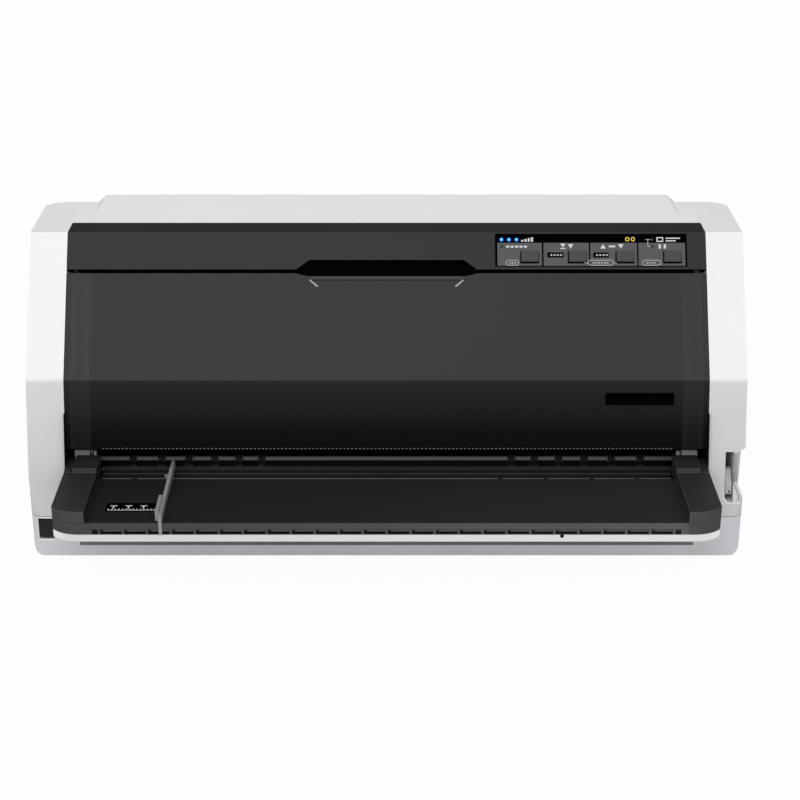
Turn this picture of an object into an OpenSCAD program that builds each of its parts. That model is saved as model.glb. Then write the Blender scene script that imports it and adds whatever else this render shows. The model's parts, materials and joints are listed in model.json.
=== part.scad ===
// Flatbed dot matrix printer, built as separate shells, frames, shafts and moving pieces.
// Millimetres, X to the right, Y to the back, Z up, origin at the middle of the footprint.

/* [Body] */
// Width across the housing
body_w = 480; // [460:1:500]
// Depth from the tray's front edge to the rear wall
body_d = 372.4; // [362:0.1:400]
// Height of the ridge that the rear cover starts from
body_h = 211.1; // [200:0.1:225]
// How far the ridge stands above the flat deck
ridge_rise = 5.1; // [3:0.1:7]
// Height of the seam between base and housing
base_h = 32; // [31.8:0.1:36]
// Height of the crease in the front face
crease_z = 121; // [112:1:132]
// How far the tray reaches out in front of the body
tray_reach = 57.2; // [50:0.1:64]
// How far the lower front face leans back
lower_lean = 24.8; // [18:0.1:30]
// How far the upper front face leans back
upper_lean = 55.6; // [48:0.1:60]
// Wall of the white housing
wall = 2.5; // [2:0.1:3.5]
// Wall and floor of the base pan
base_wall = 3; // [2.5:0.1:4]
// Radius of the front corners of housing and base seen from above
corner_r = 9; // [7:1:14]
// Radius of the lower edges of the base seen from the front
base_round = 6.5; // [4:0.5:9]
// Radius of the rear corners of housing and base seen from above
rear_corner_r = 17; // [10:1:20]
// Width of each white side panel beside the cover
side_panel_w = 25; // [23:0.5:28]
// Slope of the rear deck in degrees
rear_slope = 25; // [22:0.5:27]
// Depth of the top deck behind the front crease
deck_d = 67; // [66:1:78]
// Height of the rubber feet
foot_h = 2.5; // [1.5:0.5:4]
// Radius of the rubber feet
foot_r = 9; // [7:0.5:12]

/* [Front] */
// Depth of the black fascia on the deck
fascia_d = 20.5; // [18:0.5:26]
// Height of the black fascia down the sloping face
fascia_h = 25.7; // [24:0.1:27]
// Gap between fascia and front cover
parting_gap = 2.7; // [1.5:0.1:3]
// Height of the front cover's lower edge
cover_foot_z = 76.7; // [74:0.1:82]
// Wall of the smoky front cover
cover_wall = 2.4; // [2:0.1:3]
// Side gap between front cover and side panels
cover_gap = 0.5; // [0.3:0.1:1]
// Depth of the front cover's side flanges
flange_d = 13; // [11:0.5:16]
// Half width of the finger recess at its narrow side
recess_hw = 52; // [40:1:60]
// Extra half width of the finger recess at its tips
recess_flare = 8; // [5:1:10]
// Height of the finger recess in the fascia
recess_h = 6.5; // [5:0.1:7.5]
// Depth of the finger recess in the cover's upper edge
lip_notch = 2; // [1.5:0.1:3]
// Radius of the front cover's hinge pins
cover_pin_r = 3; // [2.5:0.1:3.5]

/* [Control panel] */
// Distance from the panel's right end to the fascia's side
panel_inset = 12.5; // [11:0.5:30]
// Width of the control panel
panel_w = 129; // [127:1:132]
// Thickness of the control panel plate
panel_t = 1.5; // [1.2:0.1:2]
// Height of the header strip with the lights
header_h = 6; // [5:0.1:7]
// Width of a push button
button_w = 11.5; // [10:0.1:14]
// Height of a push button
button_h = 7; // [6:0.1:8]
// Distance from the middle of a button to the right side of its cell
button_inset = 9.15; // [7:0.05:12]
// Travel of a push button
button_travel = 1; // [0.5:0.1:1.4]
// Radius of a status light lens
light_r = 1.1; // [0.8:0.1:1.3]

/* [Tray] */
// Height of the paper plane
paper_z = 57.5; // [56:0.5:59]
// Height of the tray arms above the paper plane
arm_rise = 8; // [5:0.5:9]
// Width of a tray arm
arm_w = 21.8; // [18:0.1:25]
// Extra height of the shoulder at the back of an arm
shoulder_rise = 3; // [1:0.5:3.5]
// Height of the white band under the tray
band_h = 5.4; // [4:0.1:6]
// Thickness of the tray from its bed to the top of the band
tray_t = 8.2; // [7.5:0.1:9]
// Corner radius of the tray seen from above
tray_r = 21; // [14:1:26]
// How far the corner curve would run past the tray's sides
tray_bulge = 4.8; // [0:0.1:8]
// Distance from the left arm to the edge guide's inner face
guide_inset = 49.5; // [42:0.5:60]
// Thickness of the edge guide
guide_t = 2.2; // [1.6:0.1:2.6]
// Height of the left edge guide above the bed
guide_h = 6; // [4:0.5:9]
// Pitch of the slots along the tray's front lip
lip_pitch = 15.3; // [12:0.1:20]

/* [Mechanism] */
// Distance from the housing's mouth in to the steel side frames
frame_inset = 16.5; // [15.5:0.5:19]
// Thickness of sheet steel
sheet_t = 1.5; // [1:0.1:2]
// Radius of the carriage shaft
guide_shaft_r = 6; // [5:0.5:7]
// Radius of the feed shafts
feed_shaft_r = 3; // [2.5:0.1:3.5]
// Radius of the rubber feed rollers
feed_roller_r = 6; // [5:0.1:7]
// Radius of the pinch rollers
pinch_r = 2.6; // [2.4:0.1:3.2]
// Radius of the pinch roller shafts
pinch_shaft_r = 1.5; // [1.2:0.1:1.8]
// Radius of the carriage belt pulleys
pulley_r = 8; // [6:0.5:9]
// Gear module, tooth size of the feed gears
gear_m = 1; // [0.9:0.05:1.05]
// Teeth on the rear feed gear
feed_teeth = 45; // [40:1:48]
// Teeth on the motor pinion
pinion_teeth = 16; // [14:1:18]
// Teeth on the idler gear
idler_teeth = 40; // [38:1:42]
// Teeth on the tractor gear
tractor_teeth = 32; // [30:1:34]
// Running clearance of pins and shafts in their bores
run_clear = 0.05; // [0.03:0.01:0.08]
// Clearance between faces that pass each other
face_clear = 0.5; // [0.4:0.1:0.8]

/* [Hidden] */

// ---- colours ----
white = [0.90, 0.91, 0.93];
base_grey = [0.70, 0.71, 0.74];
black = [0.09, 0.09, 0.10];
charcoal = [0.16, 0.16, 0.17];
smoke = [0.14, 0.14, 0.15];
mid_grey = [0.45, 0.46, 0.48];
steel = [0.68, 0.69, 0.71];
rubber_black = [0.06, 0.06, 0.06];
board_green = [0.10, 0.35, 0.22];

// ---- side profile ----
half_w = body_w / 2;
deck_z = body_h - ridge_rise;
hook_out = 1.2;
rear_y = body_d / 2;
tray_y = -body_d / 2 + hook_out;
foot_y = tray_y + tray_reach;
crease_y = foot_y + lower_lean;
brow_y = crease_y + upper_lean;
crest_y = brow_y + deck_d;
open_hw = half_w - side_panel_w;
cover_hw = open_hw - cover_gap;
function rear_z(y) = deck_z - (y - crest_y) * tan(rear_slope);
face_angle = atan2(deck_z - crease_z, upper_lean);
lower_angle = atan2(crease_z - base_h, lower_lean);
face_len = norm([upper_lean, deck_z - crease_z]);
fascia_back_y = brow_y + fascia_d;
ridge_hw = half_w - 39.6;
ridge_y = crest_y - 3;
eps = 0.01;

// y of the lower front face at a height
function lower_y(z) = foot_y + (z - base_h) / tan(lower_angle);

// ---- shape helpers ----
module along_x(x0, x1) {
    translate([x0, 0, 0]) rotate([90, 0, 90]) linear_extrude(x1 - x0) children();
}
module rod_x(y, z, r, x0, x1) {
    translate([x0, y, z]) rotate([0, 90, 0]) cylinder(h = x1 - x0, r = r, $fn = 48);
}
module rod_y(x, z, r, y0, y1) {
    translate([x, y1, z]) rotate([90, 0, 0]) cylinder(h = y1 - y0, r = r, $fn = 48);
}
module rod_z(x, y, r, z0, z1) {
    translate([x, y, z0]) cylinder(h = z1 - z0, r = r, $fn = 48);
}
module along_y(y0, y1) {
    translate([0, y1, 0]) rotate([90, 0, 0]) linear_extrude(y1 - y0) children();
}
module box(x0, x1, y0, y1, z0, z1) {
    translate([x0, y0, z0]) cube([x1 - x0, y1 - y0, z1 - z0]);
}
module both_sides() {
    children();
    mirror([1, 0, 0]) children();
}
// rectangle with its own radius at the front and at the back corners
module round_plan(x0, x1, y0, y1, rf, rb) {
    translate([x0 + rf, y0]) square([x1 - x0 - 2 * rf, y1 - y0]);
    translate([x0, y0 + rf]) square([rf, y1 - y0 - rf - rb]);
    translate([x1 - rf, y0 + rf]) square([rf, y1 - y0 - rf - rb]);
    if (rb > 0) {
        translate([x0 + rb, y1 - rb]) circle(rb, $fn = 64);
        translate([x1 - rb, y1 - rb]) circle(rb, $fn = 64);
    }
    translate([x0 + rf, y0 + rf]) circle(rf, $fn = 64);
    translate([x1 - rf, y0 + rf]) circle(rf, $fn = 64);
}
// frame on the sloping upper front face: x right, y up the face, z outwards
module on_face() {
    translate([0, brow_y, deck_z]) rotate([face_angle, 0, 0]) children();
}

// ---- gears ----
pressure = 20;
gear_backlash = 0.16;
function inv_deg(a) = tan(a) * 180 / PI - a;
function pitch_r(n) = gear_m * n / 2;
function flank(n, r) =
    let (rp = pitch_r(n), rb = rp * cos(pressure), a = r > rb ? acos(rb / r) : 0)
    90 / n - gear_backlash / rp * 180 / PI + inv_deg(pressure) - inv_deg(a);
function tooth(n, mid_a) =
    let (rp = pitch_r(n), rr = rp - 1.25 * gear_m, rt = rp + 0.9 * gear_m,
        steps = [for (k = [0:4]) rr + (rt - rr) * k / 4],
        up = [for (r = steps) r * [cos(mid_a - flank(n, r)), sin(mid_a - flank(n, r))]],
        down = [for (k = [4:-1:0])
            steps[k] * [cos(mid_a + flank(n, steps[k])), sin(mid_a + flank(n, steps[k]))]])
    concat(up, down);
module gear_2d(n, phase) {
    polygon([for (i = [0:n - 1]) each tooth(n, phase + i * 360 / n)]);
}
// phase of a follower gear in mesh with a leading gear, th is the direction to the follower
function mesh_phase(th, lead_phase, nl, nf) =
    th + 180 + (th - lead_phase) * nl / nf + 180 / nf;

// ---- places of the mechanism ----
frame_hw = open_hw - frame_inset;
frame_out = frame_hw + sheet_t;
platen_y = 0;
front_feed_y = tray_y + 88.5;
feed_z = paper_z + 0.1 - feed_roller_r;
pinch_z = paper_z + 0.4 + pinch_r;
rear_feed_y = 62;
guide_shaft_y = 30;
guide_shaft_z = 86;
rail_y = -42;
rail_z0 = 84;
rail_z1 = 100;
home_x = -(frame_hw - 48.5);
carriage_hw = 30;
pulley_x = frame_hw - 20.5;
belt_y = 60;
belt_z = 82;
belt_w = 6;
belt_t = 1.2;
belt_gap = 0.4;
bush_r = 5;
gear_x = frame_out + 1;
gear_w = 5;
feed_pulley_r = 8;
feed_belt_x = gear_x + gear_w + 1;
pinion_dir = 236;
mesh_slack = 0.1;
pinion_dist = pitch_r(feed_teeth) + pitch_r(pinion_teeth) + mesh_slack;
pinion_y = rear_feed_y + pinion_dist * cos(pinion_dir);
pinion_z = feed_z + pinion_dist * sin(pinion_dir);
tractor_y = 140;
tractor_z = 48;
idler_lead = pitch_r(feed_teeth) + pitch_r(idler_teeth) + mesh_slack;
idler_tail = pitch_r(idler_teeth) + pitch_r(tractor_teeth) + mesh_slack;
span = norm([tractor_y - rear_feed_y, tractor_z - feed_z]);
span_dir = atan2(tractor_z - feed_z, tractor_y - rear_feed_y);
idler_dir = span_dir
    - acos(min(1, (idler_lead * idler_lead + span * span - idler_tail * idler_tail)
        / (2 * span * idler_lead)));
idler_y = rear_feed_y + idler_lead * cos(idler_dir);
idler_z = feed_z + idler_lead * sin(idler_dir);
tractor_dir = atan2(tractor_z - idler_z, tractor_y - idler_y);
pinion_phase = mesh_phase(pinion_dir, 0, feed_teeth, pinion_teeth);
idler_phase = mesh_phase(idler_dir, 0, feed_teeth, idler_teeth);
tractor_phase = mesh_phase(tractor_dir, idler_phase, idler_teeth, tractor_teeth);
pinch_count = 6;
function roller_x(i) = frame_hw - 113.5 + 15 * i + 0.5 * i * i;
roller_w = 5;
motor_r = 17.5;
motor_len = 28;
right_tractor_x = frame_hw - 78.5;
left_tractor_x = -right_tractor_x;
tractor_hw = 9;

// ---- lower case ----
sill_z = paper_z - tray_t - band_h;
floor_z = foot_h + base_wall;
screw_x = frame_hw - 7.5;
screw_xy = [for (x = [-screw_x, screw_x], y = [-60, 20, 100]) [x, y]];
foot_x = half_w - 35;
foot_xy = [for (x = [-foot_x, foot_x], y = [foot_y + 24, rear_y - 24]) [x, y]];
inlet_x = -(half_w - 90);
inlet_w = 28;
inlet_h = 20;
inlet_z = 9.5;
screw_r = 1.5;
board_z = 12;
board_t = 1.6;
port_z = board_z + board_t;
board_x1 = frame_hw - 43.5;
board_x0 = board_x1 - 200;
ports = [[board_x1 - 85, 38, 12], [board_x1 - 43, 13, 11], [board_x1 - 21, 19, 9]];
switch_x = -(half_w - 10.5);
switch_z = base_h - 9;
switch_w = 10.4;
switch_h = 15.2;
pocket_wall = 1.2;

module base_section() {
    // front view outline with rounded lower edges
    along_y(-body_d, body_d)
        union() {
            translate([-half_w, foot_h + base_round]) square([body_w, body_h]);
            translate([-half_w + base_round, foot_h])
                square([body_w - 2 * base_round, body_h]);
            for (s = [-1, 1])
                translate([s * (half_w - base_round), foot_h + base_round])
                    circle(base_round, $fn = 64);
        }
}
module body_plan() {
    round_plan(-half_w, half_w, foot_y, rear_y, corner_r, rear_corner_r);
}
module base_pan() {
    pocket_hw = switch_w / 2 + pocket_wall;
    pocket_hh = switch_h / 2 + pocket_wall;
    color(base_grey) {
        difference() {
            intersection() {
                union() {
                    translate([0, 0, foot_h]) linear_extrude(base_h - foot_h) body_plan();
                    box(-open_hw + face_clear, open_hw - face_clear,
                        foot_y, foot_y + base_wall, base_h - 1, sill_z);
                }
                base_section();
            }
            translate([0, 0, floor_z]) linear_extrude(body_h)
                round_plan(-half_w + base_wall + 2, half_w - base_wall - 2,
                    foot_y + base_wall, rear_y - base_wall, corner_r - base_wall,
                    rear_corner_r - base_wall);
            for (p = ports) box(p[0] - 0.3, p[0] + p[1] + 0.3, rear_y - 2 * base_wall,
                rear_y + 1, port_z - 0.3, port_z + p[2] + 0.3);
            box(inlet_x - inlet_w / 2 - 0.2, inlet_x + inlet_w / 2 + 0.2,
                rear_y - 2 * base_wall, rear_y + 1, inlet_z - 0.2, inlet_z + inlet_h + 0.2);
            box(switch_x - switch_w / 2, switch_x + switch_w / 2, foot_y - 1,
                foot_y + 3 * base_wall, switch_z - switch_h / 2, switch_z + switch_h / 2);
            for (p = screw_xy) rod_z(p[0], p[1], screw_r, foot_h - 1, floor_z + 1);
            for (p = board_posts) rod_z(p[0], p[1], screw_r, foot_h - 1, board_z + 1);
        }
        // pocket and axle of the power rocker
        difference() {
            box(switch_x - pocket_hw, switch_x + pocket_hw, foot_y + 2, foot_y + 14,
                switch_z - pocket_hh, switch_z + pocket_hh);
            box(switch_x - switch_w / 2, switch_x + switch_w / 2, foot_y - 1, foot_y + 12,
                switch_z - switch_h / 2, switch_z + switch_h / 2);
        }
        rod_x(rocker_y, switch_z, rocker_pin_r, switch_x - switch_w / 2 - eps,
            switch_x + switch_w / 2 + eps);
        difference() {
            for (p = board_posts) rod_z(p[0], p[1], 4, floor_z - eps, board_z);
            for (p = board_posts) rod_z(p[0], p[1], screw_r, foot_h - 1, board_z + 1);
        }
    }
}
module rubber_feet() {
    color(rubber_black) for (p = foot_xy) rod_z(p[0], p[1], foot_r, 0, foot_h);
}

// ---- white housing ----
rear_open_hw = half_w - 56;
rear_open_y0 = crest_y + 12;
rear_open_y1 = rear_y - 14;
slot_hw = half_w - 50;
slot_z0 = 47;
slot_z1 = 68;
channel_x0 = half_w - 13.2;
channel_x1 = half_w - 7.6;
channel_z0 = 41.5;
channel_z1 = 74.6;
channel_y1 = foot_y + 34;
cover_pivot_y = lower_y(cover_foot_z) + 8;
cover_pivot_z = cover_foot_z + 5.5;

module outer_profile() {
    polygon([[foot_y, base_h], [crease_y, crease_z], [brow_y, deck_z], [crest_y, deck_z],
        [rear_y, rear_z(rear_y)], [rear_y, base_h]]);
}
module inner_profile() {
    polygon([[foot_y + wall, base_h - 1], [foot_y + wall, base_h],
        [crease_y + wall, crease_z], [brow_y + 1.4 * wall, deck_z - wall],
        [crest_y, deck_z - wall], [rear_y - wall, rear_z(rear_y) - wall],
        [rear_y - wall, base_h - 1]]);
}
module inner_plan() {
    round_plan(-half_w + wall, half_w - wall, foot_y + wall, rear_y - wall,
        corner_r - wall, rear_corner_r - wall);
}
module ridge_profile() {
    polygon([[fascia_back_y + face_clear, deck_z - wall], [fascia_back_y + face_clear, deck_z],
        [ridge_y, body_h], [ridge_y + 4, body_h], [rear_open_y0 - 6, deck_z],
        [rear_open_y0 - 6, deck_z - 2 * wall]]);
}
module rear_slope_frame() {
    translate([0, crest_y, deck_z]) rotate([-rear_slope, 0, 0]) children();
}
hinge_u = 10.5;
hinge_n = 2.6;
hinge_r = 2.5;
rod_r = 1.2;
lid_u1 = (rear_open_y1 - crest_y) / cos(rear_slope) + 6;
lug_reach = ridge_hw - 59;
ridge_run = ridge_rise;
lug_x = [-lug_reach, 0, lug_reach];
lug_hw = 5;
// facets that round off the rear corners of the deck: inset from the side, distance in front
// of the deck's rear edge, direction seen from above
corner_facets = [[14, 0, 78], [6.5, 1.6, 47]];
facet_tilt = 28;
module corner_cut(inset) {
    both_sides() for (f = corner_facets) translate([half_w - f[0], crest_y - f[1], deck_z])
        rotate([0, 0, f[2]]) rotate([0, facet_tilt, 0])
            box(-30, body_d / 2, -90, 90, -inset, 20);
}
module upper_housing() {
    color(white) difference() {
        union() {
            intersection() {
                along_x(-half_w, half_w) outer_profile();
                translate([0, 0, base_h]) linear_extrude(body_h)
                    body_plan();
            }
            intersection() {
                along_x(-ridge_hw, ridge_hw) ridge_profile();
                along_y(-body_d, body_d)
                    polygon([[-ridge_hw - ridge_run, deck_z - wall],
                        [-ridge_hw - ridge_run / 2, deck_z],
                        [-ridge_hw + ridge_run / 2, body_h],
                        [ridge_hw - ridge_run / 2, body_h],
                        [ridge_hw + ridge_run / 2, deck_z],
                        [ridge_hw + ridge_run, deck_z - wall]]);
            }
        }
        corner_cut(0);
        // hollow behind the fascia, and the two side pods
        difference() {
            intersection() {
                along_x(-half_w + wall, half_w - wall) inner_profile();
                linear_extrude(body_h) inner_plan();
                box(-half_w, half_w, fascia_back_y + wall, rear_y, 0, body_h);
            }
            corner_cut(wall);
        }
        difference() {
            both_sides() intersection() {
                along_x(open_hw + wall, half_w - wall) inner_profile();
                linear_extrude(body_h) inner_plan();
                box(0, half_w, foot_y, fascia_back_y + wall + 1, 0, body_h);
            }
            // solid block that the lever channel is cut in
            box(channel_x0 - wall, half_w, foot_y, channel_y1 + wall,
                channel_z0 - wall, channel_z1 + wall);
        }
        // mouth for fascia and front cover
        box(-open_hw, open_hw, foot_y - 1, fascia_back_y, base_h - 1, body_h + 1);
        box(-open_hw, open_hw, fascia_back_y - 1, fascia_back_y + wall + 1,
            base_h - 1, deck_z - wall);
        // rear opening under the lid
        rear_slope_frame() box(-rear_open_hw, rear_open_hw, 12.5, lid_u1 - 8, -30, 30);
        // slot for fanfold paper
        box(-slot_hw, slot_hw, rear_y - 3 * wall, rear_y + 1, slot_z0, slot_z1);
        // bores for the front cover's pins
        for (s = [-1, 1])
            rod_x(cover_pivot_y, cover_pivot_z, cover_pin_r + run_clear,
                s > 0 ? open_hw - 1 : -open_hw - wall - 1, s > 0 ? open_hw + wall + 1 : -open_hw + 1);
        // channel for the release lever
        along_y(foot_y - 1, channel_y1) polygon([[channel_x0, channel_z1],
            [channel_x1, channel_z1], [channel_x1, channel_z0],
            [channel_x0 + 2.4, channel_z0], [channel_x0, channel_z0 + 3]]);
        // outer wall of the channel stands back from the side and flares out at its foot
        along_y(foot_y - 1, foot_y + 26) polygon([[half_w - 5, channel_z1],
            [half_w + 1, channel_z1 + 3], [half_w + 1, channel_z0 - 2],
            [half_w - 1, channel_z0 + 3], [half_w - 5, channel_z0 + 13.5]]);
        // vents in the rear wall
        for (i = [0:11]) box(half_w - 150 + 8 * i, half_w - 146 + 8 * i, rear_y - 3 * wall,
            rear_y + 1, slot_z1 + 14.8, rear_z(rear_y) - 18);
    }
    color(white) {
        // lugs that hold the lid's hinge rod
        rear_slope_frame() for (x = lug_x) difference() {
            union() {
                rod_x(hinge_u, hinge_n, hinge_r, x - lug_hw, x + lug_hw);
                box(x - lug_hw, x + lug_hw, 4, hinge_u, -2, hinge_n);
            }
            rod_x(hinge_u, hinge_n, rod_r + run_clear, x - lug_hw - 1, x + lug_hw + 1);
        }
        // axle of the release lever
        rod_x(lever_y, lever_z, lever_pin_r, channel_x0 - 1, channel_x1 + 1);
    }
}
module rear_hinge_rod() {
    color(steel) rear_slope_frame()
        rod_x(hinge_u, hinge_n, rod_r, -lug_x[2] - lug_hw - 8, lug_x[2] + lug_hw + 8);
}
module rear_cover() {
    color(white) rear_slope_frame() difference() {
        union() {
            rod_x(hinge_u, hinge_n, hinge_r, -ridge_hw, ridge_hw);
            box(-ridge_hw, ridge_hw, hinge_u, lid_u1, eps, hinge_n + hinge_r);
        }
        // hollow underside with two stiffening ribs left standing
        for (i = [0:2]) let (w = 2 * (rear_open_hw - 4) / 3)
            box(-rear_open_hw + 4 + i * w + 1, -rear_open_hw + 4 + (i + 1) * w - 1,
                hinge_u + 6, lid_u1 - 12, -1, hinge_n);
        for (x = lug_x) box(x - lug_hw - face_clear, x + lug_hw + face_clear,
            hinge_u - hinge_r - 1, hinge_u + hinge_r + face_clear, -3, 8);
        rod_x(hinge_u, hinge_n, rod_r + run_clear, -ridge_hw + 20, ridge_hw - 20);
        // finger notch in the lower edge
        rod_y(0, -6, 12, lid_u1 - 6, lid_u1 + 1);
    }
}

// ---- fascia and control panel ----
module recess_2d(extra) {
    polygon([[-recess_hw - recess_flare - extra, -fascia_h - parting_gap - 0.5],
        [-recess_hw - recess_flare - extra, -fascia_h + 0.6],
        [-recess_hw - extra, -fascia_h + recess_h], [recess_hw + extra, -fascia_h + recess_h],
        [recess_hw + recess_flare + extra, -fascia_h + 0.6],
        [recess_hw + recess_flare + extra, -fascia_h - parting_gap - 0.5]]);
}
fascia_t = wall;
pocket_d = 8;
sill_hw = cover_hw - cover_wall - 4;
panel_x = cover_hw - panel_inset - panel_w;
module front_fascia() {
    color(black) difference() {
        union() {
            // deck strip and sloping strip as one bent plate
            along_x(-cover_hw, cover_hw) polygon([[fascia_back_y - face_clear, deck_z],
                [brow_y, deck_z],
                [brow_y - fascia_h * cos(face_angle), deck_z - fascia_h * sin(face_angle)],
                [brow_y - fascia_h * cos(face_angle) + fascia_t * sin(face_angle),
                    deck_z - fascia_h * sin(face_angle) - fascia_t * cos(face_angle)],
                [brow_y + fascia_t * tan(face_angle / 2), deck_z - fascia_t],
                [fascia_back_y - face_clear, deck_z - fascia_t]]);
            // tongue under the white deck
            box(-cover_hw + 8, cover_hw - 8, fascia_back_y - 4, fascia_back_y + 6,
                deck_z - wall - 2, deck_z - wall);
            box(-cover_hw + 8, cover_hw - 8, fascia_back_y - 4, fascia_back_y - 2,
                deck_z - wall - 1, deck_z - wall + 1);
            // inner sill that backs the parting gap and the finger recess
            on_face() box(-sill_hw, sill_hw, -fascia_h - parting_gap - 12,
                -fascia_h + recess_h + 2, -pocket_d - 2, -pocket_d);
            on_face() box(-cover_hw, cover_hw, -fascia_h + recess_h, -fascia_h + recess_h + 2,
                -pocket_d - 1, -fascia_t + eps);
            for (s = [-1, 1]) on_face()
                box(s > 0 ? cover_hw - 3 : -cover_hw, s > 0 ? cover_hw : -cover_hw + 3,
                    -fascia_h, -2, -pocket_d - 1, -fascia_t + eps);
        }
        on_face() translate([0, 0, -pocket_d]) linear_extrude(2 * pocket_d) recess_2d(0);
        on_face() box(panel_x + 1.5, panel_x + panel_w - 1.5, panel_y0 + 1.5,
            panel_top - 1.6, -pocket_d - 5, 1);
    }
}
panel_top = -1.2;
panel_y0 = -fascia_h + 1.8;
panel_proud = 0.4;
panel_edge = 0.5;
button_y = panel_top - 15.9;
button_pitch = (panel_w - 2 * panel_edge) / 4;
function button_x(i) = panel_x + panel_edge + button_pitch * (i + 1) - button_inset;
lights = [[4.3, -4.1], [9.3, -4.1], [14.4, -4.1], [4.5, -8.9], [panel_w - 23.3, -4.1],
    [panel_w - 23.2, -8.9]];
module control_panel() {
    color(charcoal) on_face() difference() {
        union() {
            box(panel_x, panel_x + panel_w, panel_y0, panel_top, eps, panel_proud);
            box(panel_x + 2, panel_x + panel_w - 2, panel_y0 + 2, panel_top - 2.1,
                panel_proud - panel_t, 2 * eps);
        }
        for (i = [0:3]) box(button_x(i) - button_w / 2 - 0.4, button_x(i) + button_w / 2 + 0.4,
            button_y - button_h / 2 - 0.4, button_y + button_h / 2 + 0.4, -3, 2);
        for (p = lights) translate([panel_x + p[0], panel_top + p[1], -3])
            cylinder(h = 5, r = light_r + run_clear, $fn = 32);
    }
    // posts that carry the board
    color(charcoal) on_face() for (i = [0:2])
        translate([button_x(i) + button_pitch / 2, button_y + 3, -board_drop])
            cylinder(h = board_drop + panel_proud - panel_t + eps, r = 2, $fn = 32);
}
board_drop = 7.5;
module panel_board() {
    color(board_green) on_face() {
        box(panel_x + 3, panel_x + panel_w - 3, panel_y0 + 2.6, panel_top - 2.4,
            -board_drop - 1.2, -board_drop);
        for (i = [0:3]) box(button_x(i) - 3, button_x(i) + 3, button_y - 3, button_y + 3,
            -board_drop, -board_drop + 2);
        for (i = [0:3]) translate([button_x(i), button_y, -board_drop + 2])
            cylinder(h = 0.8, r = 1.5, $fn = 32);
    }
}
module status_lights() {
    color([0.2, 0.45, 1]) on_face() for (p = lights)
        translate([panel_x + p[0], panel_top + p[1], -board_drop])
            cylinder(h = board_drop + panel_proud + 0.3, r = light_r, $fn = 32);
}
module push_button(i) {
    color(charcoal) on_face() {
        box(button_x(i) - button_w / 2, button_x(i) + button_w / 2,
            button_y - button_h / 2, button_y + button_h / 2, -2.6, 1.7);
        box(button_x(i) - button_w / 2 - 1, button_x(i) + button_w / 2 + 1,
            button_y - button_h / 2 - 0.5, button_y + button_h / 2 + 0.5,
            -3.2, -panel_t + panel_proud - 0.3);
    }
}
module button_1() { push_button(0); }
module button_2() { push_button(1); }
module button_3() { push_button(2); }
module button_4() { push_button(3); }

// ---- smoky front cover ----
cover_top = fascia_h + parting_gap;
function face_point(d, n) = [brow_y - d * cos(face_angle) + n * sin(face_angle),
    deck_z - d * sin(face_angle) - n * cos(face_angle)];
function lower_point(z, n) = [lower_y(z) + n * sin(lower_angle),
    z - n * cos(lower_angle)];
module cover_profile(t) {
    polygon([face_point(cover_top, 0), [crease_y, crease_z], lower_point(cover_foot_z, 0),
        lower_point(cover_foot_z, t) + [0, t * cos(lower_angle)],
        [crease_y + t / sin((face_angle + lower_angle) / 2), crease_z],
        face_point(cover_top, t)]);
}
module front_cover() {
    color(smoke) {
        difference() {
            union() {
                along_x(-cover_hw, cover_hw) cover_profile(cover_wall);
                both_sides() along_x(cover_hw - cover_wall, cover_hw) cover_profile(flange_d);
                // stiffening lip along the upper edge
                on_face() box(-cover_hw, cover_hw, -cover_top - lip_notch - 3.2,
                    -cover_top - lip_notch, -5, -cover_wall + eps);
            }
            on_face() translate([0, 0, -4]) linear_extrude(8)
                polygon([[-recess_hw - recess_flare, -cover_top + 1],
                    [-recess_hw - recess_flare, -cover_top - 0.4],
                    [-recess_hw - 1, -cover_top - lip_notch],
                    [recess_hw + 1, -cover_top - lip_notch],
                    [recess_hw + recess_flare, -cover_top - 0.4],
                    [recess_hw + recess_flare, -cover_top + 1]]);
            both_sides() rod_x(cover_pivot_y, cover_pivot_z, cover_pin_r + run_clear,
                cover_hw - cover_wall - 1, cover_hw + 1);
        }
    }
}
module cover_hinge_pins() {
    color(mid_grey) both_sides() {
        rod_x(cover_pivot_y, cover_pivot_z, cover_pin_r, cover_hw - cover_wall,
            open_hw + wall - 0.2);
        rod_x(cover_pivot_y, cover_pivot_z, cover_pin_r + 0.7, cover_hw - cover_wall - 1.5,
            cover_hw - cover_wall);
    }
}
// rubber pads on the sill that the closed cover leans on
module cover_bumpers() {
    color(rubber_black) on_face() for (x = [64.5 - cover_hw, cover_hw - 64.5])
        box(x - 6, x + 6, -fascia_h - parting_gap - 11,
            -fascia_h - parting_gap - 8, -pocket_d, -cover_wall);
}

// ---- tray ----
bed_t = 3;
tray_hw = open_hw - face_clear;
bed_hw = tray_hw - arm_w;
tray_back_y = foot_y + 5;
arm_back_y = foot_y + 20;
arm_step_y = foot_y - 1;
lip_t = 4.5;
arm_top = paper_z + arm_rise;
lip_z0 = paper_z - tray_t;
rim_w = 5;
slot_end = bed_hw - 4.5;
guide_x = -(bed_hw - guide_inset);
guide_slot_y = tray_back_y + 4.3;
guide_out = 30;
guide_in = 40;
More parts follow.
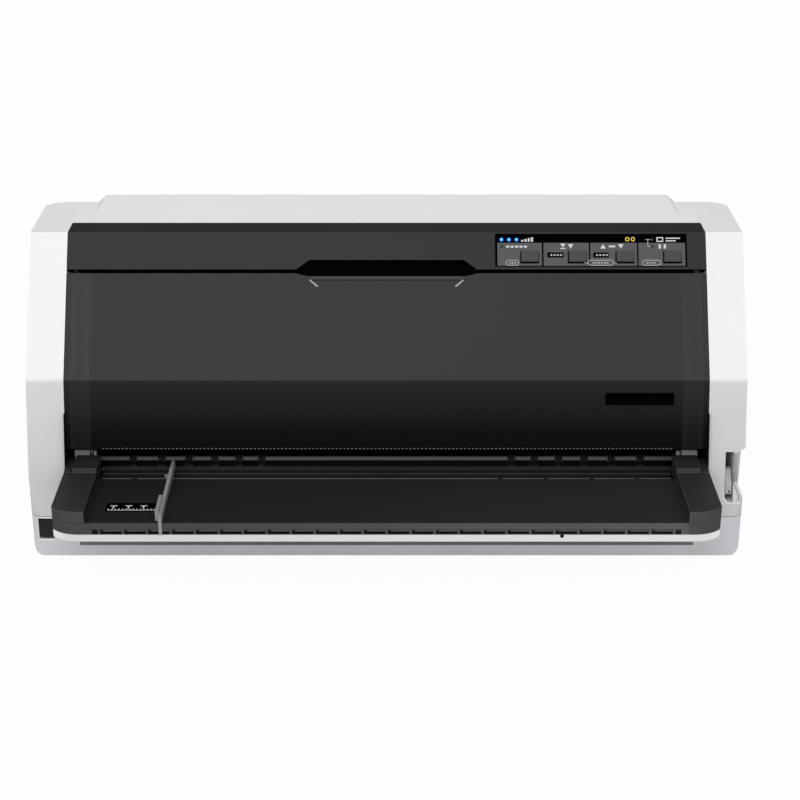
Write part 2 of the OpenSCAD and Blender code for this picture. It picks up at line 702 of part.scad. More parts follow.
// front corners follow a wide curve that the straight sides cut off
module tray_plan(inset, y1) {
    intersection() {
        round_plan(inset - tray_hw - tray_bulge, tray_hw + tray_bulge - inset, tray_y + inset,
            y1, tray_r - inset, 0);
        translate([inset - tray_hw, tray_y]) square([2 * (tray_hw - inset), body_d]);
    }
}
module tray_body() {
    color(charcoal) difference() {
        translate([0, 0, lip_z0]) linear_extrude(arm_top + shoulder_rise - lip_z0)
            tray_plan(0, arm_back_y);
        // arms step down in front of the shoulders
        box(-half_w, half_w, tray_y - 1, arm_step_y, arm_top, body_h);
        // lower rim and groove beside each shoulder
        both_sides() box(tray_hw - rim_w, half_w, arm_step_y - 1, arm_back_y + 1,
            arm_top + 0.8, body_h);
        both_sides() box(tray_hw - rim_w - 0.6, tray_hw - rim_w + eps, arm_step_y - 3,
            arm_back_y + 1, arm_top - 0.8, body_h);
        // channel between the arms, and the bed's open back
        box(-bed_hw, bed_hw, tray_y - 1, rear_y, paper_z, body_h);
        box(-bed_hw, bed_hw, tray_back_y, rear_y, lip_z0 - 1, body_h);
        // hollow underside
        box(-bed_hw, bed_hw, tray_y + lip_t, tray_back_y + 1, lip_z0 - 1, paper_z - bed_t);
        both_sides() box(bed_hw + 3, tray_hw - 3, tray_y + tray_r, arm_back_y - 3,
            lip_z0 - 1, arm_top - 3);
        // slots along the front lip
        for (i = [-13:12]) box(max(-slot_end, lip_pitch * i + 0.8),
            min(slot_end, lip_pitch * (i + 1) - 0.8), tray_y - 1, tray_y + lip_t - 1.2,
            lip_z0 + 0.3, lip_z0 + 3.8);
    }
}
module tray_band() {
    color(white) difference() {
        translate([0, 0, sill_z]) linear_extrude(band_h) tray_plan(0, foot_y + 7);
        translate([0, 0, sill_z + 2]) linear_extrude(band_h) tray_plan(3, foot_y + 4);
    }
}
module edge_guide() {
    color(mid_grey) {
        box(guide_x - guide_t, guide_x, tray_y - hook_out, tray_back_y + 18,
            paper_z + 0.4, paper_z + guide_h);
        // hook over the front lip
        box(guide_x - guide_t, guide_x, tray_y - hook_out, tray_y - 0.3, lip_z0 + 0.5,
            paper_z + 0.5);
        // finger grip
        box(guide_x - guide_t - 2.2, guide_x - guide_t + eps, tray_y + 2, tray_y + 25,
            paper_z + 0.5, paper_z + guide_h + 1.5);
        // foot through the slot behind the bed, with a head that keeps it down
        box(guide_x - 6, guide_x, guide_slot_y + 0.3, guide_slot_y + 2.7,
            paper_z - 6.5, paper_z + 0.5);
        box(guide_x - 6, guide_x, guide_slot_y - 1.6, guide_slot_y + 4.6,
            paper_z - 8, paper_z - 6.4);
    }
}

// ---- paper guides and frame ----
guide_hw = bed_hw - 1;
guide_span = frame_hw;
module rail_strip(y0, y1, z1) {
    box(-guide_hw, guide_hw, y0, y1, paper_z - 4, z1);
}
module front_paper_guide() {
    fy = front_feed_y;
    color(charcoal) {
        difference() {
            union() {
                box(-guide_hw, guide_hw, tray_back_y + 0.6, platen_y - 8.5,
                    paper_z - 6, paper_z - 3);
                rail_strip(tray_back_y + 0.6, tray_back_y + 2, paper_z);
                rail_strip(fy - 16.8, fy - 14.6, paper_z - 0.8);
                rail_strip(fy - 10.5, fy - feed_roller_r - 1, paper_z - 0.4);
                rail_strip(fy + feed_roller_r + 1, platen_y - 8.5, paper_z - 0.2);
                both_sides() box(guide_hw - 3, guide_hw, foot_y + 8, platen_y - 8.5,
                    sill_z, paper_z - 3);
            }
            // open trough for the feed shaft and its rollers
            box(-guide_hw - 1, guide_hw + 1, fy - feed_roller_r - 1,
                fy + feed_roller_r + 1, feed_z - feed_roller_r - 1, paper_z + 1);
            // slot that the edge guide's foot slides in
            box(guide_x - guide_out - 7, guide_x + guide_in + 1, guide_slot_y,
                guide_slot_y + 3, paper_z - 7, paper_z + 1);
        }
        // thin lip that leads the sheet to the rollers
        box(-guide_hw, guide_hw, fy - feed_roller_r - 1 - eps, fy - feed_roller_r + 0.8,
            paper_z - 1.9, paper_z - 0.4);
        // floor under the trough joins the two halves
        box(-guide_hw, guide_hw, fy - feed_roller_r - 3, fy + feed_roller_r + 3,
            feed_z - feed_roller_r - 3, feed_z - feed_roller_r - 1);
        for (y = [fy - feed_roller_r - 3, fy + feed_roller_r + 1])
            box(-guide_hw, guide_hw, y, y + 2, feed_z - feed_roller_r - 1 - eps, paper_z - 5.9);
    }
}
module rear_paper_guide() {
    ry = rear_feed_y;
    color(charcoal) difference() {
        union() {
            box(-guide_hw, guide_hw, platen_y + 8.5, 118, paper_z - 2.5, paper_z - 0.2);
            for (i = [-2:2]) box(0.4 * i * guide_hw - 1, 0.4 * i * guide_hw + 1,
                platen_y + 8.5, 118, paper_z - rib_h, paper_z - 2.4);
        }
        box(-guide_hw - 1, guide_hw + 1, ry - feed_roller_r - 1, ry + feed_roller_r + 1,
            0, paper_z - 2.5);
        for (i = [0:pinch_count - 1]) both_sides()
            box(roller_x(i) - roller_w / 2 - 1.5, roller_x(i) + roller_w / 2 + 1.5,
                ry - feed_roller_r - 1, ry + feed_roller_r + 1, 0, paper_z + 1);
    }
}
module upper_paper_guide() {
    // plate over the paper behind the carriage
    color(charcoal) difference() {
        union() {
            box(-guide_span, guide_span, 46, 116, paper_z + 9, paper_z + 11);
            box(-guide_span, guide_span, 114, 116, paper_z + 3, paper_z + 9.1);
            box(-guide_span, guide_span, 46, 48, paper_z + 3, paper_z + 9.1);
        }
        for (x = [58.5 - frame_hw, frame_hw - 58.5]) box(x - 12, x + 12, 80, 104, paper_z + 8, paper_z + 12);
    }
}
frame_y0 = front_feed_y - 9;
frame_y1 = tractor_y + 18;
frame_foot = 12;
frame_top = 128;
frame_step = 99;
frame_nose = 71;
module frame_profile() {
    polygon([[frame_y0, floor_z], [frame_y1, floor_z], [frame_y1, paper_z + 12],
        [frame_y1 - 48, paper_z + 22], [frame_y1 - 66, frame_top], [rail_y + 12, frame_top],
        [rail_y - 20, frame_step], [frame_y0, frame_nose]]);
}
shaft_places = [[front_feed_y, feed_z], [rear_feed_y, feed_z], [tractor_y, tractor_z]];
pinch_places = [[front_feed_y, pinch_z], [rear_feed_y, pinch_z]];
module side_frame() {
    difference() {
        union() {
            along_x(frame_hw, frame_out) frame_profile();
            box(frame_hw - frame_foot, frame_hw + eps, frame_y0 + 6, frame_y1 - 6,
                floor_z, floor_z + sheet_t);
        }
        for (p = shaft_places) rod_x(p[0], p[1], bush_r + 0.02, frame_hw - 1, frame_out + 1);
        for (p = pinch_places)
            rod_x(p[0], p[1], pinch_shaft_r + run_clear, frame_hw - 1, frame_out + 1);
        rod_x(guide_shaft_y, guide_shaft_z, guide_shaft_r, frame_hw - 1, frame_out + 1);
        rod_x(tractor_y + 14, tractor_z, feed_shaft_r, frame_hw - 1, frame_out + 1);
        rod_x(pinion_y, pinion_z, 4, frame_hw - 1, frame_out + 1);
        // cable windows
        box(frame_hw - 1, frame_out + 1, -45, -15, 12, 40);
        for (p = screw_xy) rod_z(abs(p[0]), p[1], screw_r + 0.2, floor_z - 1, floor_z + 4);
    }
}
module left_side_frame() {
    color(steel) mirror([1, 0, 0]) side_frame();
}
module right_side_frame() {
    color(steel) {
        side_frame();
        // stub axle for the idler gear
        rod_x(idler_y, idler_z, 2.5, frame_out - eps, gear_x + gear_w + 0.8);
    }
}
beam_h = 12;
beam_d = 16;
beam_y = tractor_y - 52;
rib_h = 12;
module front_beam() {
    // bent steel beam that ties the frames under the front guide
    color(steel) difference() {
        box(-frame_hw, frame_hw, platen_y - 44, platen_y - 30, sill_z - beam_h, sill_z);
        box(-frame_hw - 1, frame_hw + 1, platen_y - 44 + sheet_t, platen_y - 30 + 1,
            sill_z - beam_h + sheet_t, sill_z - sheet_t);
    }
}
module rear_beam() {
    color(steel) difference() {
        box(-frame_hw, frame_hw, beam_y, beam_y + beam_d, paper_z - rib_h - beam_h,
            paper_z - rib_h);
        box(-frame_hw - 1, frame_hw + 1, beam_y + sheet_t, beam_y + beam_d + 1,
            paper_z - rib_h - beam_h + sheet_t, paper_z - rib_h - sheet_t);
    }
}
module platen() {
    color(rubber_black) {
        box(-frame_hw, frame_hw, platen_y - 7.5, platen_y + 7.5, paper_z - 9, paper_z - 0.5);
    }
}

// ---- carriage ----
module carriage_shaft() {
    color(steel) rod_x(guide_shaft_y, guide_shaft_z, guide_shaft_r, -frame_out - 3, frame_out + 3);
}
module carriage_rail() {
    color(steel) {
        box(-frame_hw, frame_hw, rail_y, rail_y + sheet_t, rail_z0, rail_z1);
        box(-frame_hw, frame_hw, rail_y - 8, rail_y + eps, rail_z0, rail_z0 + sheet_t);
    }
}
head_hw = 17;
head_y0 = -15;
head_y1 = 15;
head_top = 103;
car_z0 = 78;
car_z1 = 97;
module carriage() {
    color(charcoal) difference() {
        union() {
            box(home_x - carriage_hw, home_x + carriage_hw, -38, 22, car_z0, car_z1);
            rod_x(guide_shaft_y, guide_shaft_z, guide_shaft_r + 4, home_x - carriage_hw,
                home_x + carriage_hw);
            // fork over the rail
            box(home_x - 14, home_x + 14, rail_y - 3, -37, rail_z0 + 7, car_z1 + 6);
            // arm and jaws that grip the belt
            box(home_x - 8, home_x + 8, guide_shaft_y + 5, belt_y - pulley_r + 3,
                belt_z - 6, belt_z - 1);
            box(home_x - 8, home_x + 8, belt_y - pulley_r - 3.6,
                belt_y - pulley_r - belt_t - belt_gap - 0.4, belt_z - 2, belt_z + belt_w);
            box(home_x - 8, home_x + 8, belt_y - pulley_r, belt_y - pulley_r + 3,
                belt_z - 2, belt_z + belt_w);
        }
        box(home_x - head_hw - 0.3, home_x + head_hw + 0.3, head_y0 - 0.3, head_y1 + 0.3,
            car_z0 - 1, car_z1 + 1);
        rod_x(guide_shaft_y, guide_shaft_z, guide_shaft_r + run_clear,
            home_x - carriage_hw - 1, home_x + carriage_hw + 1);
        box(home_x - 15, home_x + 15, rail_y - 0.5, rail_y + sheet_t + 0.5,
            rail_z0 + 6, rail_z1 + 1);
    }
}
module print_head() {
    color(mid_grey) {
        // nose with the wire guide
        box(home_x - 4, home_x + 4, platen_y - 5, platen_y + 5, paper_z + 1.2, car_z0 - 4);
        box(home_x - 11, home_x + 11, platen_y - 10, platen_y + 10, car_z0 - 5, car_z0 + 2);
        // finned coil housing
        box(home_x - head_hw + 2, home_x + head_hw - 2, head_y0 + 2, head_y1 - 2,
            car_z0 + 1, head_top);
        for (i = [0:5]) box(home_x - head_hw, home_x + head_hw, head_y0, head_y1,
            car_z0 + 3 + 4 * i, car_z0 + 5 + 4 * i);
        // flange that rests on the carriage
        box(home_x - head_hw - 3, home_x + head_hw + 3, head_y0 - 2, head_y1 + 2,
            car_z1, car_z1 + 1.5);
    }
}
cart_hw = 44;
cart_z0 = 106;
cart_z1 = 121;
knob_x = home_x + 28;
knob_y = -14;
module ribbon_cartridge() {
    color(black) difference() {
        union() {
            translate([0, 0, cart_z0]) linear_extrude(cart_z1 - cart_z0)
                round_plan(home_x - cart_hw, home_x + cart_hw, -36, 26, 6, 6);
            // legs that clip on the carriage
            for (s = [-1, 1]) box(home_x + s * 25 - 2, home_x + s * 25 + 2, -34, -26,
                car_z1, cart_z0 + eps);
            for (s = [-1, 1]) box(home_x + s * 25 - 2, home_x + s * 25 + 2, 12, 20,
                car_z1, cart_z0 + eps);
        }
        rod_z(knob_x, knob_y, 3 + run_clear, cart_z0 + 4, cart_z1 + 1);
    }
}
module ribbon_knob() {
    color(mid_grey) {
        rod_z(knob_x, knob_y, 3, cart_z0 + 4.5, cart_z1 + 1);
        difference() {
            rod_z(knob_x, knob_y, 8, cart_z1 + face_clear, cart_z1 + 7);
            for (i = [0:11]) rotate_about(knob_x, knob_y, 30 * i)
                translate([8.4, 0, cart_z1 - 1]) cylinder(h = 10, r = 1.2, $fn = 24);
        }
    }
}
module rotate_about(x, y, a) {
    translate([x, y, 0]) rotate([0, 0, a]) children();
}

// ---- carriage drive ----
plate_z = belt_z + belt_w + 2;
module carriage_motor() {
    color(mid_grey) difference() {
        union() {
            box(-frame_hw, -pulley_x + motor_r + 4, belt_y - motor_r, belt_y + motor_r,
                plate_z, plate_z + sheet_t);
            rod_z(-pulley_x, belt_y, motor_r, plate_z + sheet_t - eps, plate_z + motor_len);
        }
        rod_z(-pulley_x, belt_y, 2.5 + run_clear, plate_z - 1, plate_z + motor_len - 8);
    }
}
module motor_pulley() {
    color(steel) {
        rod_z(-pulley_x, belt_y, 2.5, belt_z - 1, plate_z + motor_len - 9);
        rod_z(-pulley_x, belt_y, pulley_r, belt_z, belt_z + belt_w);
        rod_z(-pulley_x, belt_y, pulley_r + 2.5, belt_z - 1, belt_z - 0.4);
    }
}
module idler_bracket() {
    color(steel) {
        box(pulley_x - motor_r, frame_hw, belt_y - motor_r + 4, belt_y + motor_r - 4,
            plate_z, plate_z + sheet_t);
        rod_z(pulley_x, belt_y, 2.5, belt_z - 1, plate_z + eps);
    }
}
module idler_pulley() {
    color(mid_grey) difference() {
        union() {
            rod_z(pulley_x, belt_y, pulley_r, belt_z, belt_z + belt_w);
            rod_z(pulley_x, belt_y, pulley_r + 2.5, belt_z - 1, belt_z - 0.4);
            rod_z(pulley_x, belt_y, pulley_r - 2, belt_z - 1, belt_z + belt_w);
        }
        rod_z(pulley_x, belt_y, 2.5 + run_clear, belt_z - 2, belt_z + belt_w + 1);
    }
}
module stadium(x, r) {
    translate([-x, -r]) square([2 * x, 2 * r]);
    for (s = [-1, 1]) translate([s * x, 0]) circle(r, $fn = 64);
}
module timing_belt() {
    color(rubber_black) translate([0, belt_y, belt_z]) linear_extrude(belt_w) difference() {
        stadium(pulley_x, pulley_r + belt_gap + belt_t);
        stadium(pulley_x, pulley_r + belt_gap);
    }
}

// ---- paper feed ----
module feed_rollers(y) {
    for (i = [0:pinch_count - 1]) both_sides()
        rod_x(y, feed_z, feed_roller_r, roller_x(i) - roller_w / 2, roller_x(i) + roller_w / 2);
}
module front_feed_roller() {
    color(steel) {
        rod_x(front_feed_y, feed_z, feed_shaft_r, -frame_out - 3, feed_belt_x + 7);
        feed_rollers(front_feed_y);
        rod_x(front_feed_y, feed_z, feed_pulley_r, feed_belt_x, feed_belt_x + 5);
    }
}
module rear_feed_roller() {
    color(steel) {
        rod_x(rear_feed_y, feed_z, feed_shaft_r, -frame_out - 3, feed_belt_x + 7);
        feed_rollers(rear_feed_y);
        rod_x(rear_feed_y, feed_z, feed_pulley_r, feed_belt_x, feed_belt_x + 5);
        translate([0, rear_feed_y, feed_z]) along_x(gear_x, gear_x + gear_w)
            gear_2d(feed_teeth, 0);
    }
}
module pinch_roller(y) {
    color(mid_grey) {
        rod_x(y, pinch_z, pinch_shaft_r, -frame_out - 2, frame_out + 0.6);
        for (i = [0:pinch_count - 1]) both_sides()
            rod_x(y, pinch_z, pinch_r, roller_x(i) - roller_w / 2, roller_x(i) + roller_w / 2);
    }
}
module front_pinch_roller() { pinch_roller(front_feed_y); }
module rear_pinch_roller() { pinch_roller(rear_feed_y); }
module feed_belt() {
    reach = (rear_feed_y - front_feed_y) / 2;
    color(rubber_black) translate([0, front_feed_y + reach, feed_z])
        along_x(feed_belt_x, feed_belt_x + 5) difference() {
            stadium(reach, feed_pulley_r + belt_gap + belt_t);
            stadium(reach, feed_pulley_r + belt_gap);
        }
}
module feed_motor() {
    color(mid_grey) difference() {
        rod_x(pinion_y, pinion_z, motor_r, frame_hw - motor_len, frame_hw);
        rod_x(pinion_y, pinion_z, 2.5 + run_clear, frame_hw - motor_len + 8, frame_hw + 1);
    }
}
module motor_pinion() {
    color(steel) {
        rod_x(pinion_y, pinion_z, 2.5, frame_hw - motor_len + 9, gear_x + eps);
        translate([0, pinion_y, pinion_z]) along_x(gear_x, gear_x + gear_w)
            gear_2d(pinion_teeth, pinion_phase);
    }
}
module idler_gear() {
    color(white) difference() {
        translate([0, idler_y, idler_z]) along_x(gear_x, gear_x + gear_w)
            gear_2d(idler_teeth, idler_phase);
        rod_x(idler_y, idler_z, 2.5 + run_clear, gear_x - 1, gear_x + gear_w + 1);
    }
}
module shaft_bushes() {
    color(white) for (p = shaft_places) both_sides() difference() {
        union() {
            rod_x(p[0], p[1], bush_r, frame_hw, frame_out);
            rod_x(p[0], p[1], bush_r + 1.5, frame_hw - 1.5, frame_hw);
        }
        rod_x(p[0], p[1], feed_shaft_r + run_clear, frame_hw - 3, frame_out + 1);
    }
}
module tractor_shaft() {
    color(steel) {
        rod_x(tractor_y, tractor_z, feed_shaft_r, -frame_out - 3, gear_x + gear_w + 1);
        translate([0, tractor_y, tractor_z]) along_x(gear_x, gear_x + gear_w)
            gear_2d(tractor_teeth, tractor_phase);
    }
}
module tractor_rod() {
    color(steel) rod_x(tractor_y + 14, tractor_z, feed_shaft_r, -frame_out - 1, frame_out + 1);
}
flap_pin_r = 0.8;
flap_z = paper_z + 3.4;
flap_y0 = tractor_y - 12;
flap_y1 = tractor_y + 18;
// one tractor unit, s is the side that its flap is hinged on
module tractor(x, s) {
    hx = x + s * (tractor_hw - 1.6);
    color(mid_grey) difference() {
        union() {
            box(x - tractor_hw, x + tractor_hw, tractor_y - 14, tractor_y + 20,
                tractor_z - 8, paper_z);
            for (i = [0:2]) rod_z(x, tractor_y - 8 + 11 * i, 1.6, paper_z - eps, paper_z + 2);
            for (y = [flap_y0 - 1.9, flap_y1 + 0.4])
                box(hx - 1.6, hx + 1.6, y, y + 1.5, paper_z - eps, flap_z + 1.8);
        }
        rod_x(tractor_y, tractor_z, feed_shaft_r + run_clear, x - tractor_hw - 1,
            x + tractor_hw + 1);
        rod_x(tractor_y + 14, tractor_z, feed_shaft_r + run_clear, x - tractor_hw - 1,
            x + tractor_hw + 1);
        rod_y(hx, flap_z, flap_pin_r + run_clear, flap_y0 - 3, flap_y1 + 3);
    }
}
module flap(x, s) {
    hx = x + s * (tractor_hw - 1.6);
    color(mid_grey) {
        rod_y(hx, flap_z, flap_pin_r, flap_y0 - 1.9, flap_y1 + 1.9);
        rod_y(hx, flap_z, 1.4, flap_y0, flap_y1);
        difference() {
            box(min(hx, x - s * tractor_hw), max(hx, x - s * tractor_hw), flap_y0, flap_y1,
                flap_z - 0.8, flap_z + 0.8);
            box(x - 2.4, x + 2.4, flap_y0 + 2, flap_y1 - 2, flap_z - 2, flap_z + 2);
        }
    }
}
module left_tractor() { tractor(left_tractor_x, -1); }
module right_tractor() { tractor(right_tractor_x, 1); }
module left_flap() { flap(left_tractor_x, -1); }
module right_flap() { flap(right_tractor_x, 1); }

// ---- controls on the case ----
lever_y = foot_y + 22;
lever_z = channel_z0 + 7.5;
lever_r = 5;
lever_pin_r = 2;
lever_top = channel_z0 + 19.8;
module release_lever() {
    x0 = channel_x0 + face_clear;
    x1 = channel_x1 - face_clear;
    color(mid_grey) difference() {
        union() {
            rod_x(lever_y, lever_z, lever_r, x0, x1);
            along_x(x0, x1) polygon([[lever_y, lever_z - lever_r],
                [lower_y(lever_z) + 3.5, lever_z - 4.4], [lower_y(lever_z) + 1, lever_z - 2.5],
                [lower_y(lever_z) + 2, lever_z + 4], [lower_y(lever_top) + 3.5, lever_top - 3],
                [lower_y(lever_top) + 5, lever_top], [lower_y(lever_top) + 9, lever_top],
                [lever_y, lever_z + lever_r]]);
        }
        rod_x(lever_y, lever_z, lever_pin_r + run_clear, x0 - 1, x1 + 1);
    }
}
rocker_y = foot_y + 5.4;
rocker_pin_r = 1.5;
rocker_face = 4.4;
rocker_hh = 6.3;
rocker_tilt = 15;
module power_switch() {
    // two faces that meet at the pivot line, the lower one stands out until it is pressed
    color(black) along_x(switch_x - switch_w / 2 + face_clear, switch_x + switch_w / 2 - face_clear)
        difference() {
            translate([rocker_y, switch_z]) polygon([[3, -5],
                [-rocker_face - rocker_hh * sin(rocker_tilt), -rocker_hh * cos(rocker_tilt)],
                [-rocker_face, 0], [-rocker_face, rocker_hh], [3, 5]]);
            translate([rocker_y, switch_z]) circle(rocker_pin_r + run_clear, $fn = 48);
        }
}

// ---- electronics ----
board_y0 = -60;
board_y1 = rear_y - 15;
board_posts = [for (x = [board_x0 + 8, board_x1 - 8], y = [board_y0 + 8, board_y1 - 24]) [x, y]];
psu_x0 = -(frame_hw - 12.5);
psu_x1 = psu_x0 + 124;
psu_y0 = board_y0 + 10;
psu_y1 = rear_y - 36.2;
psu_z = 10;
psu_top = psu_z + board_t;
module main_board() {
    color(board_green) difference() {
        box(board_x0, board_x1, board_y0, board_y1, board_z, board_z + board_t);
        for (p = board_posts) rod_z(p[0], p[1], screw_r + 0.2, board_z - 1, board_z + 3);
    }
    color(charcoal) {
        // processor, memory, driver and smoothing parts along the board
        box(board_x0 + 55, board_x0 + 87, -20, 12, port_z, board_z + 4.6);
        box(board_x0 + 115, board_x0 + 137, -30, -8, port_z, board_z + 4);
        box(board_x0 + 15, board_x0 + 39, 40, 64, port_z, board_z + 12);
        for (i = [0:4]) box(board_x0 + 105 + 18 * i, board_x0 + 115 + 18 * i, 60, 84,
            port_z, board_z + 3.6);
        for (i = [0:3]) rod_z(board_x0 + 25 + 16 * i, 110, 5, port_z - eps, board_z + 14);
    }
}
module power_supply() {
    color(board_green) box(psu_x0, psu_x1, psu_y0, psu_y1, psu_z, psu_top);
    color(mid_grey) {
        for (x = [psu_x0 + 6, psu_x1 - 10], y = [psu_y0 + 4, psu_y1 - 8])
            box(x, x + 4, y, y + 4, floor_z, psu_z);
        // transformer, heat sink, capacitors and filter parts
        box(psu_x0 + 26, psu_x0 + 68, 20, 60, psu_top, psu_top + 26);
        box(psu_x0 + 81, psu_x0 + 86, -20, 70, psu_top, psu_top + 18);
        rod_z(psu_x0 + 106, 0, 11, psu_top - eps, psu_top + 24);
        rod_z(psu_x0 + 106, 32, 8, psu_top - eps, psu_top + 18);
        box(psu_x0 + 36, psu_x0 + 66, 90, 118, psu_top, psu_top + 15);
        box(psu_x0 + 16, psu_x0 + 36, -40, -10, psu_top, psu_top + 14);
    }
}
module interface_ports() {
    color(steel) for (p = ports) difference() {
        box(p[0], p[0] + p[1], board_y1 - 12, rear_y - 0.4, port_z, port_z + p[2]);
        box(p[0] + 1.5, p[0] + p[1] - 1.5, rear_y - 9, rear_y + 1, port_z + 1.5,
            port_z + p[2] - 1.5);
    }
}
module power_inlet() {
    color(black) difference() {
        box(inlet_x - inlet_w / 2, inlet_x + inlet_w / 2, rear_y - 24, rear_y - 0.4,
            inlet_z, inlet_z + inlet_h);
        box(inlet_x - inlet_w / 2 + 2, inlet_x + inlet_w / 2 - 2, rear_y - 18, rear_y + 1,
            inlet_z + 2, inlet_z + inlet_h - 2);
    }
    // flange against the inside of the rear wall
    color(black) difference() {
        box(inlet_x - inlet_w / 2 - 4, inlet_x + inlet_w / 2 + 4, rear_y - base_wall - 2,
            rear_y - base_wall, inlet_z - 3, inlet_z + inlet_h + 3);
        box(inlet_x - inlet_w / 2 + eps, inlet_x + inlet_w / 2 - eps, rear_y - base_wall - 3,
            rear_y, inlet_z + eps, inlet_z + inlet_h - eps);
    }
    color(steel) for (i = [-1:1])
        box(inlet_x + 7 * i - 1, inlet_x + 7 * i + 1, rear_y - 18 - eps, rear_y - 7,
            inlet_z + (i == 0 ? 9 : 6), inlet_z + (i == 0 ? 13 : 10));
}
module screw(z) {
    cylinder(h = 2, r = 3, $fn = 32);
    translate([0, 0, -z]) cylinder(h = z + eps, r = screw_r - 0.02, $fn = 32);
}
module screws() {
    color(steel) {
        for (p = screw_xy) translate([p[0], p[1], floor_z + sheet_t]) screw(4);
        for (p = board_posts) translate([p[0], p[1], board_z + board_t]) screw(6);
    }
}

base_pan();
rubber_feet();
upper_housing();
front_fascia();
control_panel();
panel_board();
status_lights();
button_1();
button_2();
button_3();
button_4();
front_cover();
cover_hinge_pins();
cover_bumpers();
rear_cover();
rear_hinge_rod();
tray_body();
tray_band();
edge_guide();
front_paper_guide();
rear_paper_guide();
upper_paper_guide();
left_side_frame();
right_side_frame();
front_beam();
rear_beam();
platen();
carriage_shaft();
carriage_rail();
carriage();
print_head();
ribbon_cartridge();
ribbon_knob();
carriage_motor();
motor_pulley();
idler_bracket();
idler_pulley();
timing_belt();
front_feed_roller();
rear_feed_roller();
front_pinch_roller();
rear_pinch_roller();
feed_belt();
feed_motor();
motor_pinion();
idler_gear();
shaft_bushes();
tractor_shaft();
tractor_rod();
left_tractor();
right_tractor();
left_flap();
right_flap();
release_lever();
power_switch();
main_board();
power_supply();
interface_ports();
power_inlet();
screws();
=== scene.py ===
"""Looks of the flatbed dot matrix printer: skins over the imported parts, materials, trim, light, camera."""

import json
import math

import bmesh
import bpy
from mathutils import Matrix, Vector


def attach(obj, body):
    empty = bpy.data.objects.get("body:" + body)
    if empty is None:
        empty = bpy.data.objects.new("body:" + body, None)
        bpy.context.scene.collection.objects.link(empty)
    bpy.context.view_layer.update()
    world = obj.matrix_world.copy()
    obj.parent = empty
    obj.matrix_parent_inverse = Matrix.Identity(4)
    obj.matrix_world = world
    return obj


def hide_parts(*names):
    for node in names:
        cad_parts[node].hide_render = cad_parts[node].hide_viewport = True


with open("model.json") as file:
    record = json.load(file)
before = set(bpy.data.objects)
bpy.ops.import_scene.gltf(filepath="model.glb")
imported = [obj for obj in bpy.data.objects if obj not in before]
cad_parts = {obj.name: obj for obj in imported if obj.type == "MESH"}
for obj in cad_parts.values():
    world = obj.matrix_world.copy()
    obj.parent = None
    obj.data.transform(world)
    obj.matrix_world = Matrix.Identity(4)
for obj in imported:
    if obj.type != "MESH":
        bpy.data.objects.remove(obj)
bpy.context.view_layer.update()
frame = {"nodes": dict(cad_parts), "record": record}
nodes = frame["nodes"]
MM = 0.001

# ---------------------------------------------------------------- places, in millimetres
# The front goes up from the foot to the crease and on to the brow. The deck runs from the brow to
# the crest, where the rear slope starts.
HALF_W, CORNER_R = 240.0, 9.0
FOOT_Y, BASE_Z = -127.8, 32.0
CREASE_Y, CREASE_Z = -103.0, 121.0
BROW_Y, DECK_Z = -47.4, 206.0
CREST_Y = BROW_Y + 67
LOWER = math.atan2(CREASE_Z - BASE_Z, CREASE_Y - FOOT_Y)
FACE = math.atan2(DECK_Z - CREASE_Z, BROW_Y - CREASE_Y)
REAR_SLOPE = math.radians(25)
FEED_Y, PINCH_Z = -96.5, 60.5
LIT_LAMPS = [77.3, 82.3, 87.4]


def face_frame():
    """Frame of the sloping upper front face: x right, y up the face, z outwards."""
    return Matrix.Translation((0, BROW_Y * MM, DECK_Z * MM)) @ Matrix.Rotation(FACE, 4, "X")


def lower_frame():
    """Frame of the lower front face, from its foot upwards."""
    return Matrix.Translation((0, FOOT_Y * MM, BASE_Z * MM)) @ Matrix.Rotation(LOWER, 4, "X")


# ---------------------------------------------------------------- shader nodes
def links(tree, source, output, target, socket):
    """Joins an output of one shader node to an input of another."""
    tree.links.new(source.outputs[output], target.inputs[socket])


def shader(tree, kind, operation=None, inputs=None):
    """New shader node with its operation and fixed inputs."""
    made = tree.nodes.new(kind)
    if operation:
        made.operation = operation
    for socket, value in (inputs or {}).items():
        made.inputs[socket].default_value = value
    return made


def noise(tree, source, scale, detail):
    """Noise texture over the coordinates of a node's Vector output."""
    made = shader(tree, "ShaderNodeTexNoise", inputs={"Scale": scale, "Detail": detail})
    links(tree, source, "Vector", made, "Vector")
    return made


def map_range(tree, source, output, start, end, low=0.0, high=1.0):
    """Turns the values from start to end into low to high."""
    made = shader(tree, "ShaderNodeMapRange",
                  inputs={"From Min": start, "From Max": end, "To Min": low, "To Max": high})
    links(tree, source, output, made, "Value")
    return made


def combine(tree, kind, operation, first, second):
    """Math node on two (node, output) pairs."""
    made = shader(tree, kind, operation)
    links(tree, *first, made, 0)
    links(tree, *second, made, 1)
    return made


